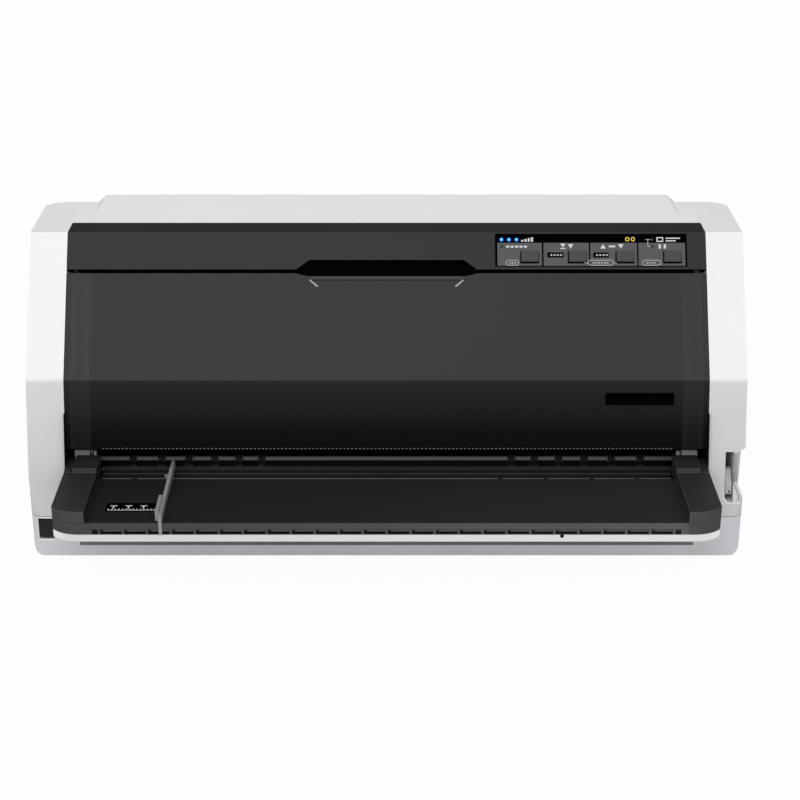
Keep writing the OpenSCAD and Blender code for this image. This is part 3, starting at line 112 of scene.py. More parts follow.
def faces(tree, color, normal, weights, edge):
    """Painted shade by the way a face looks (sideways, to the front, upwards), and painted highlights on
    round edges.
    """
    square = combine(tree, "ShaderNodeVectorMath", "MULTIPLY", normal, normal)
    dot = shader(tree, "ShaderNodeVectorMath", "DOT_PRODUCT", {1: weights})
    links(tree, square, "Vector", dot, 0)
    amount = dot
    if edge:
        xyz = shader(tree, "ShaderNodeSeparateXYZ")
        links(tree, square, "Vector", xyz, "Vector")
        level = shader(tree, "ShaderNodeMath", "SUBTRACT", {0: 1.0})
        links(tree, xyz, "Z", level, 1)
        both = combine(tree, "ShaderNodeMath", "MULTIPLY", (xyz, "Z"), (level, "Value"))
        amount = shader(tree, "ShaderNodeMath", "MULTIPLY_ADD", {1: 4 * edge})
        links(tree, both, "Value", amount, 0)
        links(tree, dot, "Value", amount, 2)
    tinted = shader(tree, "ShaderNodeVectorMath", "SCALE")
    links(tree, *color, tinted, 0)
    links(tree, amount, "Value", tinted, "Scale")
    return tinted, "Vector"


def ramp_along(tree, axis, stops, mirror=False):
    """Value that follows (place in mm, value) stops along an axis."""
    place = shader(tree, "ShaderNodeTexCoord")
    xyz = shader(tree, "ShaderNodeSeparateXYZ")
    links(tree, place, "Object", xyz, "Vector")
    last, output = xyz, axis
    if mirror:
        last, output = shader(tree, "ShaderNodeMath", "ABSOLUTE"), "Value"
        links(tree, xyz, axis, last, 0)
    start, end = stops[0][0], stops[-1][0]
    part = map_range(tree, last, output, start * MM, end * MM)
    ramp = shader(tree, "ShaderNodeValToRGB")
    elements = ramp.color_ramp.elements
    while len(elements) < len(stops):
        elements.new(0.5)
    for element, (where, value) in zip(elements, stops):
        element.position = (where - start) / (end - start)
        element.color = (value, value, value, 1)
    links(tree, part, "Result", ramp, "Fac")
    return ramp, "Color"


def banded(axis, stops, mirror=False):
    """Shade step that scales the colour by stops along an axis."""
    def shade(tree, color):
        ramp = ramp_along(tree, axis, stops, mirror)
        return combine(tree, "ShaderNodeVectorMath", "MULTIPLY", color, ramp), "Vector"
    return shade


def cover_shade(tree, color):
    """Smoky cover: even upper face, lower face fading to black towards the bottom as painted shade, paler
    strips near both sides.
    """
    height = ramp_along(tree, "Z", [(76, 0.03), (82, 0.045), (90, 0.10), (102, 0.27), (112, 0.38),
                                    (120.6, 0.47), (121.4, 1.0), (200, 1.0)])
    side = ramp_along(tree, "X", [(197.0, 0), (198.2, 0.2), (205, 0.12), (210.6, 0.2),
                                  (211.6, 0.0), (220, 0.0)], mirror=True)
    both = combine(tree, "ShaderNodeVectorMath", "ADD", height, side)
    return combine(tree, "ShaderNodeVectorMath", "MULTIPLY", color, (both, "Vector")), "Vector"


def material(name, color, rough=0.5, metal=0.0, grain=0.0, grain_scale=900.0, vary=0.03,
             vary_scale=14.0, rough_vary=0.06, coat=0.0, streak=(1, 1, 1), shade=(), spec=0.5,
             emission=None, painted_facing_light=None, edge=0.0):
    """Principled material with colour drift, roughness drift and a moulded or brushed grain, and optional
    painted shade and highlights by face direction and along axes.
    """
    made = bpy.data.materials.new(name)
    made.use_nodes = True
    tree = made.node_tree
    bsdf = tree.nodes["Principled BSDF"]
    bsdf.inputs["Metallic"].default_value = metal
    bsdf.inputs["Specular IOR Level"].default_value = spec
    bsdf.inputs["Coat Weight"].default_value = coat
    bsdf.inputs["Coat Roughness"].default_value = 0.12
    if emission:
        bsdf.inputs["Emission Color"].default_value = (*emission[:3], 1)
        bsdf.inputs["Emission Strength"].default_value = emission[3]
    place = shader(tree, "ShaderNodeTexCoord")
    stretch = shader(tree, "ShaderNodeMapping", inputs={"Scale": streak})
    links(tree, place, "Object", stretch, "Vector")
    drift = noise(tree, stretch, vary_scale, 5)
    amount = map_range(tree, drift, "Fac", 0.3, 0.7, 1 - vary, 1 + vary)
    tint = shader(tree, "ShaderNodeVectorMath", "SCALE", {0: color})
    links(tree, amount, "Result", tint, "Scale")
    result = (tint, "Vector")
    if painted_facing_light:
        result = faces(tree, result, (place, "Normal"), painted_facing_light, edge)
    for step in shade:
        result = step(tree, result)
    links(tree, *result, bsdf, "Base Color")
    dull = map_range(tree, drift, "Fac", 0.0, 1.0,
                     max(0.02, rough - rough_vary), min(1, rough + rough_vary))
    links(tree, dull, "Result", bsdf, "Roughness")
    if grain:
        fine = noise(tree, stretch, grain_scale, 3)
        bump = shader(tree, "ShaderNodeBump", inputs={"Strength": grain, "Distance": 0.0002})
        links(tree, fine, "Fac", bump, "Height")
        links(tree, bump, "Normal", bsdf, "Normal")
    return made


# ---------------------------------------------------------------- materials
# Painted shade in the housing's white: front faces a little lighter than tops, and everything below the
# crease darker, darkest near the base.
WHITE = material("white_plastic", (0.80, 0.805, 0.82), 0.5, grain=0.06, vary=0.012, spec=0.35,
                 painted_facing_light=(1.0, 1.03, 0.98),
                 shade=[banded("Z", [(30, 0.66), (55, 0.68), (80, 0.745), (112, 0.76), (119.5, 0.775),
                                     (122.5, 1.0), (215, 1.0)])])
# Painted shade: the lid's upward faces a little darker than its front and sides.
WHITE_LID = material("white_lid", (0.78, 0.785, 0.80), 0.5, grain=0.08, vary=0.012, spec=0.35,
                     painted_facing_light=(1.0, 1.0, 0.95))
# Painted light along the band: darker on the left, lighter towards the right, and painted highlights at both
# rounded ends.
BAND = material("band_plastic", (0.70, 0.705, 0.72), 0.5, grain=0.06, vary=0.012, spec=0.35,
                shade=[banded("X", [(-215, 1.2), (-204, 0.93), (-100, 0.93), (100, 1.0), (204, 1.04),
                                    (215, 1.2)])])
# Painted light: the base is lighter across the middle, where the tray shades it, than at its sides.
BASE = material("base_plastic", (0.585, 0.59, 0.612), 0.55, grain=0.1, vary=0.015, spec=0.3,
                shade=[banded("X", [(0, 1.12), (195, 1.1), (212, 1.0), (240, 1.03)], mirror=True)])
# Painted shade: upward faces of the black fascia are nearly black, front faces lighter.
BLACK = material("fascia_black", (0.040, 0.040, 0.041), 0.42, grain=0.05, vary=0.03, spec=0.12,
                 painted_facing_light=(0.6, 0.95, 0.03))
# Painted shade: near-black for the faces deep in the fascia's finger recess and gap.
RECESS_SHADE = material("painted_recess_shade", (0.0025, 0.0025, 0.0026), 0.6, grain=0.05, vary=0.05, spec=0.0)
PANEL = material("panel_black", (0.0012, 0.0012, 0.0013), 0.4, grain=0.02, vary=0.06, spec=0.0)
CELL = material("panel_cell", (0.092, 0.094, 0.098), 0.5, grain=0.05, vary=0.05, spec=0.1)
BUTTON = material("button_plastic", (0.064, 0.066, 0.069), 0.45, grain=0.04, vary=0.05, spec=0.1)
ROCKER = material("rocker_plastic", (0.020, 0.020, 0.0205), 0.45, grain=0.04, vary=0.05, spec=0.08)
SMOKE = material("smoky_cover", (0.0385, 0.0385, 0.0393), 0.35, vary=0.015, shade=[cover_shade],
                 rough_vary=0.03, spec=0.05)
# Painted light in the tray: front faces lighter and tops darker by their direction, painted highlights on
# round edges, painted shade on the bed top, darker towards the left and lighter towards the right.
TRAY = material("tray_plastic", (0.026, 0.0262, 0.027), 0.5, grain=0.2, grain_scale=1500, vary=0.05,
                spec=0.12, painted_facing_light=(0.8, 2.2, 0.74), edge=1.5,
                shade=[banded("Z", [(40, 1.0), (57.0, 1.0), (57.35, 0.66), (57.65, 0.66), (58, 1.0),
                                    (80, 1.0)]),
                       banded("X", [(-220, 1.0), (-193.2, 1.0), (-192.5, 0.95), (0, 1.2), (192.2, 1.6),
                                    (192.9, 1.05), (220, 1.05)])])
# Painted light: front faces of the paper guides lighter than their tops and sides.
GUIDE = material("guide_plastic", (0.012, 0.012, 0.0123), 0.5, grain=0.15, grain_scale=1500, vary=0.06,
                 spec=0.1, painted_facing_light=(0.8, 1.4, 1.0))
RAIL = material("guide_rail", (0.050, 0.050, 0.051), 0.5, grain=0.1, vary=0.05, spec=0.1)
BED_LINE_HIGHLIGHT = material("painted_bed_line_highlight", (0.10, 0.10, 0.102), 0.5, grain=0.1, vary=0.04, spec=0.2)
TONGUE = material("tongue_plastic", (0.085, 0.085, 0.087), 0.5, grain=0.1, vary=0.05, spec=0.1)
GREY = material("grey_plastic", (0.24, 0.242, 0.25), 0.5, grain=0.1, vary=0.04)
CHEEK = material("cheek_plastic", (0.30, 0.303, 0.31), 0.5, grain=0.1, vary=0.04, spec=0.2)
LEVER = material("lever_plastic", (0.42, 0.425, 0.44), 0.5, grain=0.08, vary=0.04)
RUBBER = material("rubber", (0.010, 0.010, 0.010), 0.75, grain=0.3, grain_scale=1200, vary=0.15,
                  spec=0.2)
# Grey for the pinch roller's shaft, and a painted highlight on the cover's foot ribs.
SHAFT_AND_RIB_HIGHLIGHT = material("shaft_grey_and_rib_highlight", (0.15, 0.15, 0.153), 0.4, grain=0.05, vary=0.05, spec=0.3)
STEEL = material("zinc_sheet", (0.58, 0.59, 0.61), 0.38, metal=1, grain=0.08, vary=0.06,
                 vary_scale=60, streak=(0.2, 1, 1))
BRIGHT = material("ground_steel", (0.66, 0.67, 0.69), 0.22, metal=1, grain=0.05, vary=0.05,
                  vary_scale=200, streak=(0.05, 1, 1))
CAST = material("cast_metal", (0.22, 0.225, 0.235), 0.5, metal=1, grain=0.25, grain_scale=700,
                vary=0.08)
BOARD = material("solder_mask", (0.02, 0.10, 0.05), 0.35, grain=0.1, vary=0.12, vary_scale=160,
                 coat=0.2)
NYLON = material("nylon", (0.72, 0.71, 0.66), 0.45, grain=0.05, vary=0.03)
LENS = material("lamp_blue", (0.05, 0.35, 0.95), 0.2, vary=0.1, coat=0.4,
                emission=(0.03, 0.36, 1.0, 0.9))
GLOW = material("lamp_glow", (0.0, 0.02, 0.12), 0.6, vary=0.1, spec=0.0,
                emission=(0.0, 0.035, 0.30, 1.0))
LENS_OFF = material("lamp_off", (0.03, 0.032, 0.036), 0.3, vary=0.1, spec=0.1)
# Grey for print on the panel, and for painted glints on the cover's lip.
PRINT_AND_GLINT = material("print_and_glint_grey", (0.42, 0.425, 0.43), 0.5, vary=0.04, spec=0.1)
LINE = material("print_dark", (0.045, 0.046, 0.048), 0.5, vary=0.04, spec=0.1)
PALE = material("print_pale", (0.60, 0.61, 0.63), 0.5, vary=0.03, spec=0.1)
AMBER = material("print_amber", (0.62, 0.48, 0.07), 0.5, vary=0.05, spec=0.1)
LIP_HIGHLIGHT = material("painted_lip_highlight", (0.058, 0.058, 0.059), 0.4, vary=0.03, spec=0.05)
SEAM = material("seam_dark_and_hole_shade", (0.012, 0.012, 0.012), 0.8, vary=0.1, spec=0.0)
RIM_HIGHLIGHT = material("painted_rim_highlight", (0.92, 0.92, 0.93), 0.5, vary=0.02, spec=0.2)
CHANNEL_SHADE = material("painted_channel_shade", (0.30, 0.303, 0.312), 0.5, grain=0.05, vary=0.04, spec=0.1)
FOOT_GREY = material("foot_grey", (0.62, 0.625, 0.64), 0.5, grain=0.05, vary=0.03, spec=0.2)
# Grey for the joint line round the body, and for the painted shadow under the tray's band.
SEAM_AND_SHADOW = material("seam_and_shadow_grey", (0.17, 0.172, 0.178), 0.7, vary=0.05, spec=0.05)

PAINT = {
    "base_pan": BASE, "rubber_feet": RUBBER, "upper_housing": WHITE, "front_fascia": BLACK,
    "control_panel": PANEL, "panel_board": BOARD, "status_lights": LENS, "front_cover": SMOKE,
    "cover_hinge_pins": GREY, "cover_bumpers": RUBBER, "rear_cover": WHITE_LID,
    "rear_hinge_rod": BRIGHT, "tray_body": TRAY, "tray_band": BAND, "edge_guide": GREY,
    "front_paper_guide": GUIDE, "rear_paper_guide": GUIDE, "upper_paper_guide": GUIDE,
    "left_side_frame": STEEL, "right_side_frame": STEEL, "front_beam": STEEL, "rear_beam": STEEL,
    "platen": RUBBER, "carriage_shaft": BRIGHT, "carriage_rail": STEEL, "carriage": TRAY,
    "print_head": CAST, "ribbon_cartridge": BLACK, "ribbon_knob": GREY, "carriage_motor": STEEL,
    "motor_pulley": BRIGHT, "idler_bracket": STEEL, "idler_pulley": GREY, "timing_belt": RUBBER,
    "front_feed_roller": BRIGHT, "rear_feed_roller": BRIGHT, "front_pinch_roller": RUBBER,
    "rear_pinch_roller": RUBBER, "feed_belt": RUBBER, "feed_motor": STEEL, "motor_pinion": BRIGHT,
    "idler_gear": NYLON, "shaft_bushes": NYLON, "tractor_shaft": BRIGHT, "tractor_rod": BRIGHT,
    "left_tractor": GREY, "right_tractor": GREY, "left_flap": GREY, "right_flap": GREY,
    "release_lever": LEVER, "power_switch": ROCKER, "main_board": BOARD, "power_supply": BOARD,
    "interface_ports": STEEL, "power_inlet": BLACK, "screws": BRIGHT,
    "button_1": BUTTON, "button_2": BUTTON, "button_3": BUTTON, "button_4": BUTTON,
}
for name, node in nodes.items():
    node.data.materials.clear()
    node.data.materials.append(PAINT[name])
    for polygon in node.data.polygons:
        polygon.use_smooth = False

groups = frame["record"]["behaviour"]["bodies"]
bodies = {name: body for body, names in groups.items() for name in names}


# ---------------------------------------------------------------- piece makers
def place_mesh(name, mesh):
    """Puts a mesh in the scene as an object of the same name."""
    piece = bpy.data.objects.new(name, mesh)
    bpy.context.scene.collection.objects.link(piece)
    return piece


def add(name, bm, paint, body, smooth=None, matrix=None):
    """Puts a bmesh in the scene as a piece that rides on a body."""
    mesh = bpy.data.meshes.new(name)
    if matrix is not None:
        bm.transform(matrix)
    bmesh.ops.recalc_face_normals(bm, faces=bm.faces)
    bm.to_mesh(mesh)
    bm.free()
    piece = place_mesh(name, mesh)
    mesh.materials.append(paint)
    if smooth is not None:
        for polygon in mesh.polygons:
            polygon.use_smooth = True
        mesh.set_sharp_from_angle(angle=math.radians(smooth))
    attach(piece, body)


def even_normals(mesh):
    """Corner normals led by the largest faces round each corner, so flat faces stay flat."""
    limit = math.cos(math.radians(35))
    near = [[] for _ in mesh.vertices]
    for polygon in mesh.polygons:
        for vertex in polygon.vertices:
            near[vertex].append(polygon.index)
    normals = [polygon.normal.copy() for polygon in mesh.polygons]
    areas = [max(polygon.area, 1e-14) ** 1.5 for polygon in mesh.polygons]
    corners = []
    for polygon in mesh.polygons:
        own = normals[polygon.index]
        for vertex in polygon.vertices:
            total = Vector()
            for other in near[vertex]:
                if normals[other].dot(own) > limit:
                    total += normals[other] * areas[other]
            corners.append(total.normalized() if total.length_squared else own)
    for polygon in mesh.polygons:
        polygon.use_smooth = True
    mesh.normals_split_custom_set(corners)


def cut_faces(bm, cuts):
    """Cuts the meant faces along planes, with seams that keep the pieces of a face apart."""
    for place, direction, meant in cuts:
        flat = [f for f in bm.faces if meant(f.calc_center_median() / MM, f.normal)]
        near = {e for f in flat for e in f.edges} | {v for f in flat for v in f.verts}
        cut = bmesh.ops.bisect_plane(bm, geom=flat + list(near), dist=1e-6,
                                     plane_co=Vector(place) * MM, plane_no=direction)
        for item in cut["geom_cut"]:
            if isinstance(item, bmesh.types.BMEdge):
                item.seam = True


def bevel_room(edge, width):
    """Width in metres that the faces beside an edge leave for rounding it."""
    along = (edge.verts[1].co - edge.verts[0].co).normalized()
    room = width * MM
    for corner in edge.verts:
        for other in corner.link_edges:
            if other is edge:
                continue
            reach = other.verts[1].co - other.verts[0].co
            if abs(reach.normalized().dot(along)) < 0.9:
                room = min(room, 0.42 * reach.length)
    return room


def weigh_edges(bm, width, plain):
    """Marks the sharp edges for rounding, but for those that are meant to stay plain."""
    weight = bm.edges.layers.float.new("bevel_weight_edge")
    limit = math.radians(13)
    for edge in bm.edges:
        if len(edge.link_faces) != 2 or edge.calc_face_angle(0) < limit:
            continue
        if plain and plain((edge.verts[0].co + edge.verts[1].co) / 2 / MM):
            continue
        edge[weight] = max(0.04, bevel_room(edge, width) / (width * MM))


def skin(node, width, segments=3, extra=(), pick=None, plain=None, cuts=()):
    """A copy of a CAD node's shape with its sharp edges rounded, which then stands for the node."""
    bm = bmesh.new()
    bm.from_mesh(nodes[node].data)
    bmesh.ops.remove_doubles(bm, verts=bm.verts, dist=2e-6)
    cut_faces(bm, cuts)
    bmesh.ops.dissolve_limit(bm, angle_limit=math.radians(0.6), verts=bm.verts, edges=bm.edges,
                             delimit={"SEAM"})
    if pick:
        for f in bm.faces:
            f.material_index = pick(f.calc_center_median() / MM)
    weigh_edges(bm, width, plain)
    mesh = bpy.data.meshes.new(node + "_skin")
    bm.to_mesh(mesh)
    bm.free()
    piece = place_mesh(node + "_skin", mesh)
    for paint in (PAINT[node], *extra):
        mesh.materials.append(paint)
    bevel = piece.modifiers.new("edges", "BEVEL")
    bevel.width = width * MM
    bevel.segments = segments
    bevel.limit_method = "WEIGHT"
    bevel.use_clamp_overlap = True
    bevel.miter_outer = "MITER_ARC"
    graph = bpy.context.evaluated_depsgraph_get()
    done = bpy.data.meshes.new_from_object(piece.evaluated_get(graph))
    piece.modifiers.clear()
    piece.data = done
    done.name = piece.name
    even_normals(done)
    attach(piece, bodies[node])
    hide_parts(node)


def bridge(bm, first, second):
    """Closes the strip between two loops of vertices with the same number of points."""
    count = len(first)
    for i in range(count):
        following = (i + 1) % count
        bm.faces.new((first[i], first[following], second[following], second[i]))


def slab(x0, x1, y0, y1, z0, z1, r=0.0):
    """Rounded block in millimetres, as a bmesh."""
    bm = bmesh.new()
    size = ((x1 - x0) * MM, (y1 - y0) * MM, (z1 - z0) * MM)
    middle = ((x0 + x1) / 2 * MM, (y0 + y1) / 2 * MM, (z0 + z1) / 2 * MM)
    bmesh.ops.create_cube(bm, size=1)
    bmesh.ops.scale(bm, vec=size, verts=bm.verts)
    bmesh.ops.translate(bm, vec=middle, verts=bm.verts)
    if r:
        bmesh.ops.bevel(bm, geom=bm.edges[:], offset=r * MM, segments=2, profile=0.5, affect="EDGES",
                        clamp_overlap=True)
    return bm


def plate(points, z0, z1):
    """Flat prism over an outline of (x, y) points in millimetres."""
    bm = bmesh.new()
    low = [bm.verts.new((x * MM, y * MM, z0 * MM)) for x, y in points]
    high = [bm.verts.new((x * MM, y * MM, z1 * MM)) for x, y in points]
    bm.faces.new(low[::-1])
    bm.faces.new(high)
    bridge(bm, low, high)
    return bm


def round_rect(x0, x1, y0, y1, r):
    """Outline of a rectangle with round corners."""
    steps = 5
    corners = ((x1 - r, y1 - r, 0), (x0 + r, y1 - r, 90), (x0 + r, y0 + r, 180), (x1 - r, y0 + r, 270))
    points = []
    for center_x, center_y, start in corners:
        for i in range(steps + 1):
            angle = math.radians(start + 90 * i / steps)
            points.append((center_x + r * math.cos(angle), center_y + r * math.sin(angle)))
    return points


def ring(outer, inner, z0, z1):
    """Flat ring between two outlines with the same number of points."""
    bm = bmesh.new()
    rows = []
    for points, z in ((outer, z0), (outer, z1), (inner, z1), (inner, z0)):
        rows.append([bm.verts.new((x * MM, y * MM, z * MM)) for x, y in points])
    for k in range(4):
        bridge(bm, rows[k], rows[(k + 1) % 4])
    return bm


def stroke(points, width, z0, z1):
    """Narrow strip along a line of (x, y) points."""
    parts = []
    for (ax, ay), (bx, by) in zip(points, points[1:]):
        length = math.hypot(bx - ax, by - ay)
        nx, ny = -(by - ay) / length * width / 2, (bx - ax) / length * width / 2
        outline = [(bx + nx, by + ny), (bx - nx, by - ny), (ax - nx, ay - ny), (ax + nx, ay + ny)]
        parts.append(plate(outline, z0, z1))
    return merge(parts)


def merge(parts):
    """One bmesh from several."""
    whole = bmesh.new()
    for part in parts:
        mesh = bpy.data.meshes.new("part")
        part.to_mesh(mesh)
        part.free()
        whole.from_mesh(mesh)
        bpy.data.meshes.remove(mesh)
    return whole


# ---------------------------------------------------------------- skins of the visible pieces
DOWN = Vector((0, math.cos(REAR_SLOPE), -math.sin(REAR_SLOPE)))
OUT = Vector((0, math.sin(REAR_SLOPE), math.cos(REAR_SLOPE)))
CREST = Vector((0, CREST_Y, DECK_Z))
LEVEL = (0, 0, 1)


def on_slope(place, normal):
    """True for faces that lie along the rear slope."""
    return abs(normal.dot(OUT)) > 0.999


def on_housing_slope(place, normal):
    """True for faces of the housing's own rear slope, behind the crest."""
    return on_slope(place, normal) and place.y > CREST_Y - 1


def on_rear_wall(place, normal):
    """True for both faces of the rear wall."""
    return abs(normal.y) > 0.999 and place.y > 180


def on_tray_front(place, normal):
    """True for the upright faces at the front of the tray."""
    return abs(normal.y) > 0.999 and place.y < -180


def in_rear_openings(place):
    """True at the fanfold slot and the vents, whose edges stay plain."""
    return place.y > 176 and 40 < place.z < 118 and abs(place.x) < 200


def in_lip_slots(place):
    """True at the slots of the tray's lip, whose edges stay plain."""
    return place.y < -180 and 49.4 < place.z < 53.5 and abs(place.x) < 189


def pick_recess_shade(place):
    """Second material deep in the fascia, where the finger recess is: painted shade."""
    depth = (place.z - DECK_Z) * math.cos(FACE) - (place.y - BROW_Y) * math.sin(FACE)
    return int(depth < -0.6 and place.z < DECK_Z - 0.6)


def pick_unlit(place):
    """Second material for the lamps that are off."""
    return int(not (place.z > 200.3 and min(abs(place.x - x) for x in LIT_LAMPS) < 1.5))


def pick_shaft(place):
    """Second material for the pinch roller's shaft."""
    return int(math.hypot(place.y - FEED_Y, place.z - PINCH_Z) < 1.8)


def pick_rails(place):
    """Second material for the rails on top of the front paper guide."""
    return int(-114 < place.y < -101.4 and place.z > 55.8)


skin("upper_housing", 1.2, plain=in_rear_openings,
     cuts=[((0, 0, z), LEVEL, on_rear_wall) for z in (47.0, 68.0, 82.8, 110.31)]
     + [(CREST + DOWN * along, DOWN, on_housing_slope) for along in (12.5, 166.38)])
skin("base_pan", 1.0)
skin("front_fascia", 0.5, extra=(RECESS_SHADE,), pick=pick_recess_shade)
skin("front_cover", 0.5)
skin("rear_cover", 1.0, cuts=[(CREST + DOWN * along, DOWN, on_slope) for along in (16.5, 162.38)])
skin("tray_body", 1.2, plain=in_lip_slots,
     cuts=[((0, 0, z), LEVEL, on_tray_front) for z in (49.6, 53.1)])
skin("tray_band", 0.8)
skin("edge_guide", 0.3)
skin("release_lever", 0.6)
skin("power_switch", 0.5)
skin("control_panel", 0.15)
for number in range(1, 5):
    skin(f"button_{number}", 0.45)
skin("status_lights", 0.3, extra=(LENS_OFF,), pick=pick_unlit)
skin("front_pinch_roller", 0.2, segments=2, extra=(SHAFT_AND_RIB_HIGHLIGHT,), pick=pick_shaft)
skin("front_paper_guide", 0.3, segments=2, extra=(RAIL,), pick=pick_rails)
for name in ("carriage", "ribbon_cartridge", "print_head", "upper_paper_guide", "left_tractor",
             "right_tractor"):
    skin(name, 0.3, segments=2)

# ---------------------------------------------------------------- ridge ends
HOUSING = bodies["upper_housing"]
RIDGE_TOP, RIDGE_FOOT_Y = DECK_Z + 5.1, -26.3
RIDGE_START, RIDGE_END = 168, 202.95


def ridge_end(side):
    """Fills the ridge up to its full height where the rounded corner of the deck lowers it."""
    outline = [(RIDGE_FOOT_Y, DECK_Z - 0.4), (RIDGE_FOOT_Y, DECK_Z), (CREST_Y - 3, RIDGE_TOP),
               (CREST_Y + 1, RIDGE_TOP), (CREST_Y + 6, DECK_Z - 0.2), (CREST_Y + 6, DECK_Z - 2.8)]
    bm = bmesh.new()
    inner = []
    outer = []
    for y, z in outline:
        inner.append(bm.verts.new((side * RIDGE_START * MM, y * MM, (z - 0.05) * MM)))
    for y, z in outline:
        end = side * (RIDGE_END - (z - DECK_Z))
        outer.append(bm.verts.new((end * MM, y * MM, (z + 0.02) * MM)))
    bm.faces.new(inner[::-1])
    bm.faces.new(outer)
    bridge(bm, inner, outer)
    top = [e for e in bm.edges if min(v.co.z for v in e.verts) > (DECK_Z + 3) * MM
           and max(abs(v.co.x) for v in e.verts) > 190 * MM]
    bmesh.ops.bevel(bm, geom=top, offset=1.1 * MM, segments=3, profile=0.5, affect="EDGES",
                    clamp_overlap=True)
    return bm


for name, side in (("left_ridge_end", -1), ("right_ridge_end", 1)):
    add(name, ridge_end(side), WHITE, HOUSING, smooth=40)

# ---------------------------------------------------------------- control panel print
# The print's frame starts 1.2 mm down the face from the brow. PLANE is just off the panel's face and
# TOP just off the face of its cells. A mark is INK thick.
PANEL_BODY = bodies["control_panel"]
PRINT_FRAME = face_frame() @ Matrix.Translation((0, -1.2 * MM, 0))
PLANE = 0.41
TOP = PLANE + 0.15
INK = 0.06
HEADER = (PLANE, PLANE + 0.08)
ON_LABEL = (TOP + 0.07, TOP + 0.12)
FIRST_BUTTON_X, BUTTON_PITCH, BUTTON_Y = 96.35, 32, -15.9
BUTTON_X = [FIRST_BUTTON_X + BUTTON_PITCH * i for i in range(4)]
PILL_Y = (-22.0, -18.1)
DOTS_Y = (-20.6, -19.6)
LABEL_Y = (-16.5, -12.95)
LABEL_DOTS_Y = (-15.3, -14.2)
LINK_Y = (-14.9, -14.5)


def on_panel(name, parts, paint, body=PANEL_BODY):
    """Adds parts that are drawn in the print's frame as one piece."""
    add(name, merge(parts), paint, body, matrix=PRINT_FRAME)


def bar(x0, x1, y0, y1, z0=TOP, z1=TOP + INK):
    """Printed bar."""
    return slab(x0, x1, y0, y1, z0, z1)


def dashes(x0, x1, step, count, y0, y1, z0=TOP, z1=TOP + INK):
    """Row of equal bars, each one step further to the right."""
    return [bar(x0 + step * k, x1 + step * k, y0, y1, z0, z1) for k in range(count)]


def triangle(x, y, width, height):
    """Small triangle, pointing up for a positive height."""
    points = [(x - width / 2, y - height / 2), (x + width / 2, y - height / 2), (x, y + height / 2)]
    return plate(points if height > 0 else points[::-1], TOP, TOP + INK)


def pill(x0, x1):
    """Rounded outline under a key."""
    y0, y1 = PILL_Y
    line = 0.45
    outer = round_rect(x0, x1, y0, y1, 1.9)
    inner = round_rect(x0 + line, x1 - line, y0 + line, y1 - line, 1.9 - line)
    return ring(outer, inner, TOP, TOP + INK)


cells = []
# Each cell's opening is wider to the left of and below its key, so the black panel shows there as a painted
# shadow of the key.
for button_x, (x0, x1) in zip(BUTTON_X, ((74.5, 104.4), (105.6, 136.0), (137.0, 168.4), (169.4, 200.8))):
    opening = round_rect(button_x - 6.6, button_x + 6.1, BUTTON_Y - 4.7, BUTTON_Y + 3.8, 0.5)
    cells.append(ring(round_rect(x0, x1, -22.2, -6.3, 0.3), opening, PLANE, PLANE + 0.14))
on_panel("panel_cells", cells, CELL)

on_panel("panel_symbols", [*dashes(80.4, 82.5, 3.0, 5, -9.6, -8.3),
                           triangle(118.6, -8.2, 3.6, -2.6),
                           bar(116.8, 120.4, -10.6, -9.9),
                           triangle(123.8, -8.8, 3.6, -3.2),
                           triangle(145.6, -8.8, 3.8, 3.0),
                           bar(149.4, 153.8, -9.4, -8.2),
                           triangle(157.6, -8.8, 3.8, -3.0),
                           bar(183.0, 184.6, -10.3, -7.4),
                           bar(186.4, 188.0, -10.3, -7.4)], PALE)

header = [bar(90.6 + 2.2 * k, 92.0 + 2.2 * k, -5.5, -4.3 + 0.6 * k, *HEADER) for k in range(4)]
box_outer = round_rect(181.6, 186.2, -5.6, -2.4, 0.3)
box_inner = round_rect(182.3, 185.5, -4.9, -3.1, 0.1)
header.append(ring(box_outer, box_inner, *HEADER))
header.append(bar(187.8, 197.6, -3.5, -2.7, *HEADER))
header.append(bar(187.8, 194.6, -5.3, -4.5, *HEADER))
on_panel("header_symbols", header, PALE)
on_panel("header_line", [bar(174.3, 177.5, -4.2, -3.8, *HEADER),
                         bar(175.6, 176.0, -8.9, -4.0, PLANE, TOP + 0.05),
                         bar(175.6, 178.0, -9.1, -8.7, PLANE, TOP + 0.05)], PRINT_AND_GLINT)

amber = []
for outer_x, inner_x in (((160.6, 163.5), (161.3, 162.8)), ((164.4, 167.2), (165.1, 166.5))):
    amber.append(ring(round_rect(*outer_x, -5.3, -2.3, 1.2), round_rect(*inner_x, -4.6, -3.0, 0.6),
                      *HEADER))
on_panel("amber_symbols", amber, AMBER)

on_panel("panel_pills", [pill(80.2, 88.9), pill(135.4, 152.5), pill(171.7, 184.4),
                         bar(132.6, 135.4, -20.4, -20.0),
                         bar(152.5, 154.7, -20.4, -20.0),
                         *dashes(82.6, 83.6, 1.6, 3, *DOTS_Y),
                         *dashes(138.4, 139.5, 1.9, 6, *DOTS_Y),
                         *dashes(174.4, 175.4, 1.8, 4, *DOTS_Y)], PRINT_AND_GLINT)
link_ends = ((102.5, 108.0), (119.0, 120.9), (134.3, 139.0), (149.3, 152.9))
on_panel("link_lines", [bar(*ends, *LINK_Y) for ends in link_ends], LINE)
on_panel("key_labels", [plate(round_rect(*ends, *LABEL_Y, 0.3), PLANE, TOP + 0.07)
                        for ends in ((108.1, 119.0), (139.0, 149.3))], PANEL)
on_panel("key_label_symbols", [*dashes(110.0, 111.4, 2.2, 4, *LABEL_DOTS_Y, *ON_LABEL),
                               *dashes(140.8, 142.2, 2.2, 4, *LABEL_DOTS_Y, *ON_LABEL)], PRINT_AND_GLINT)
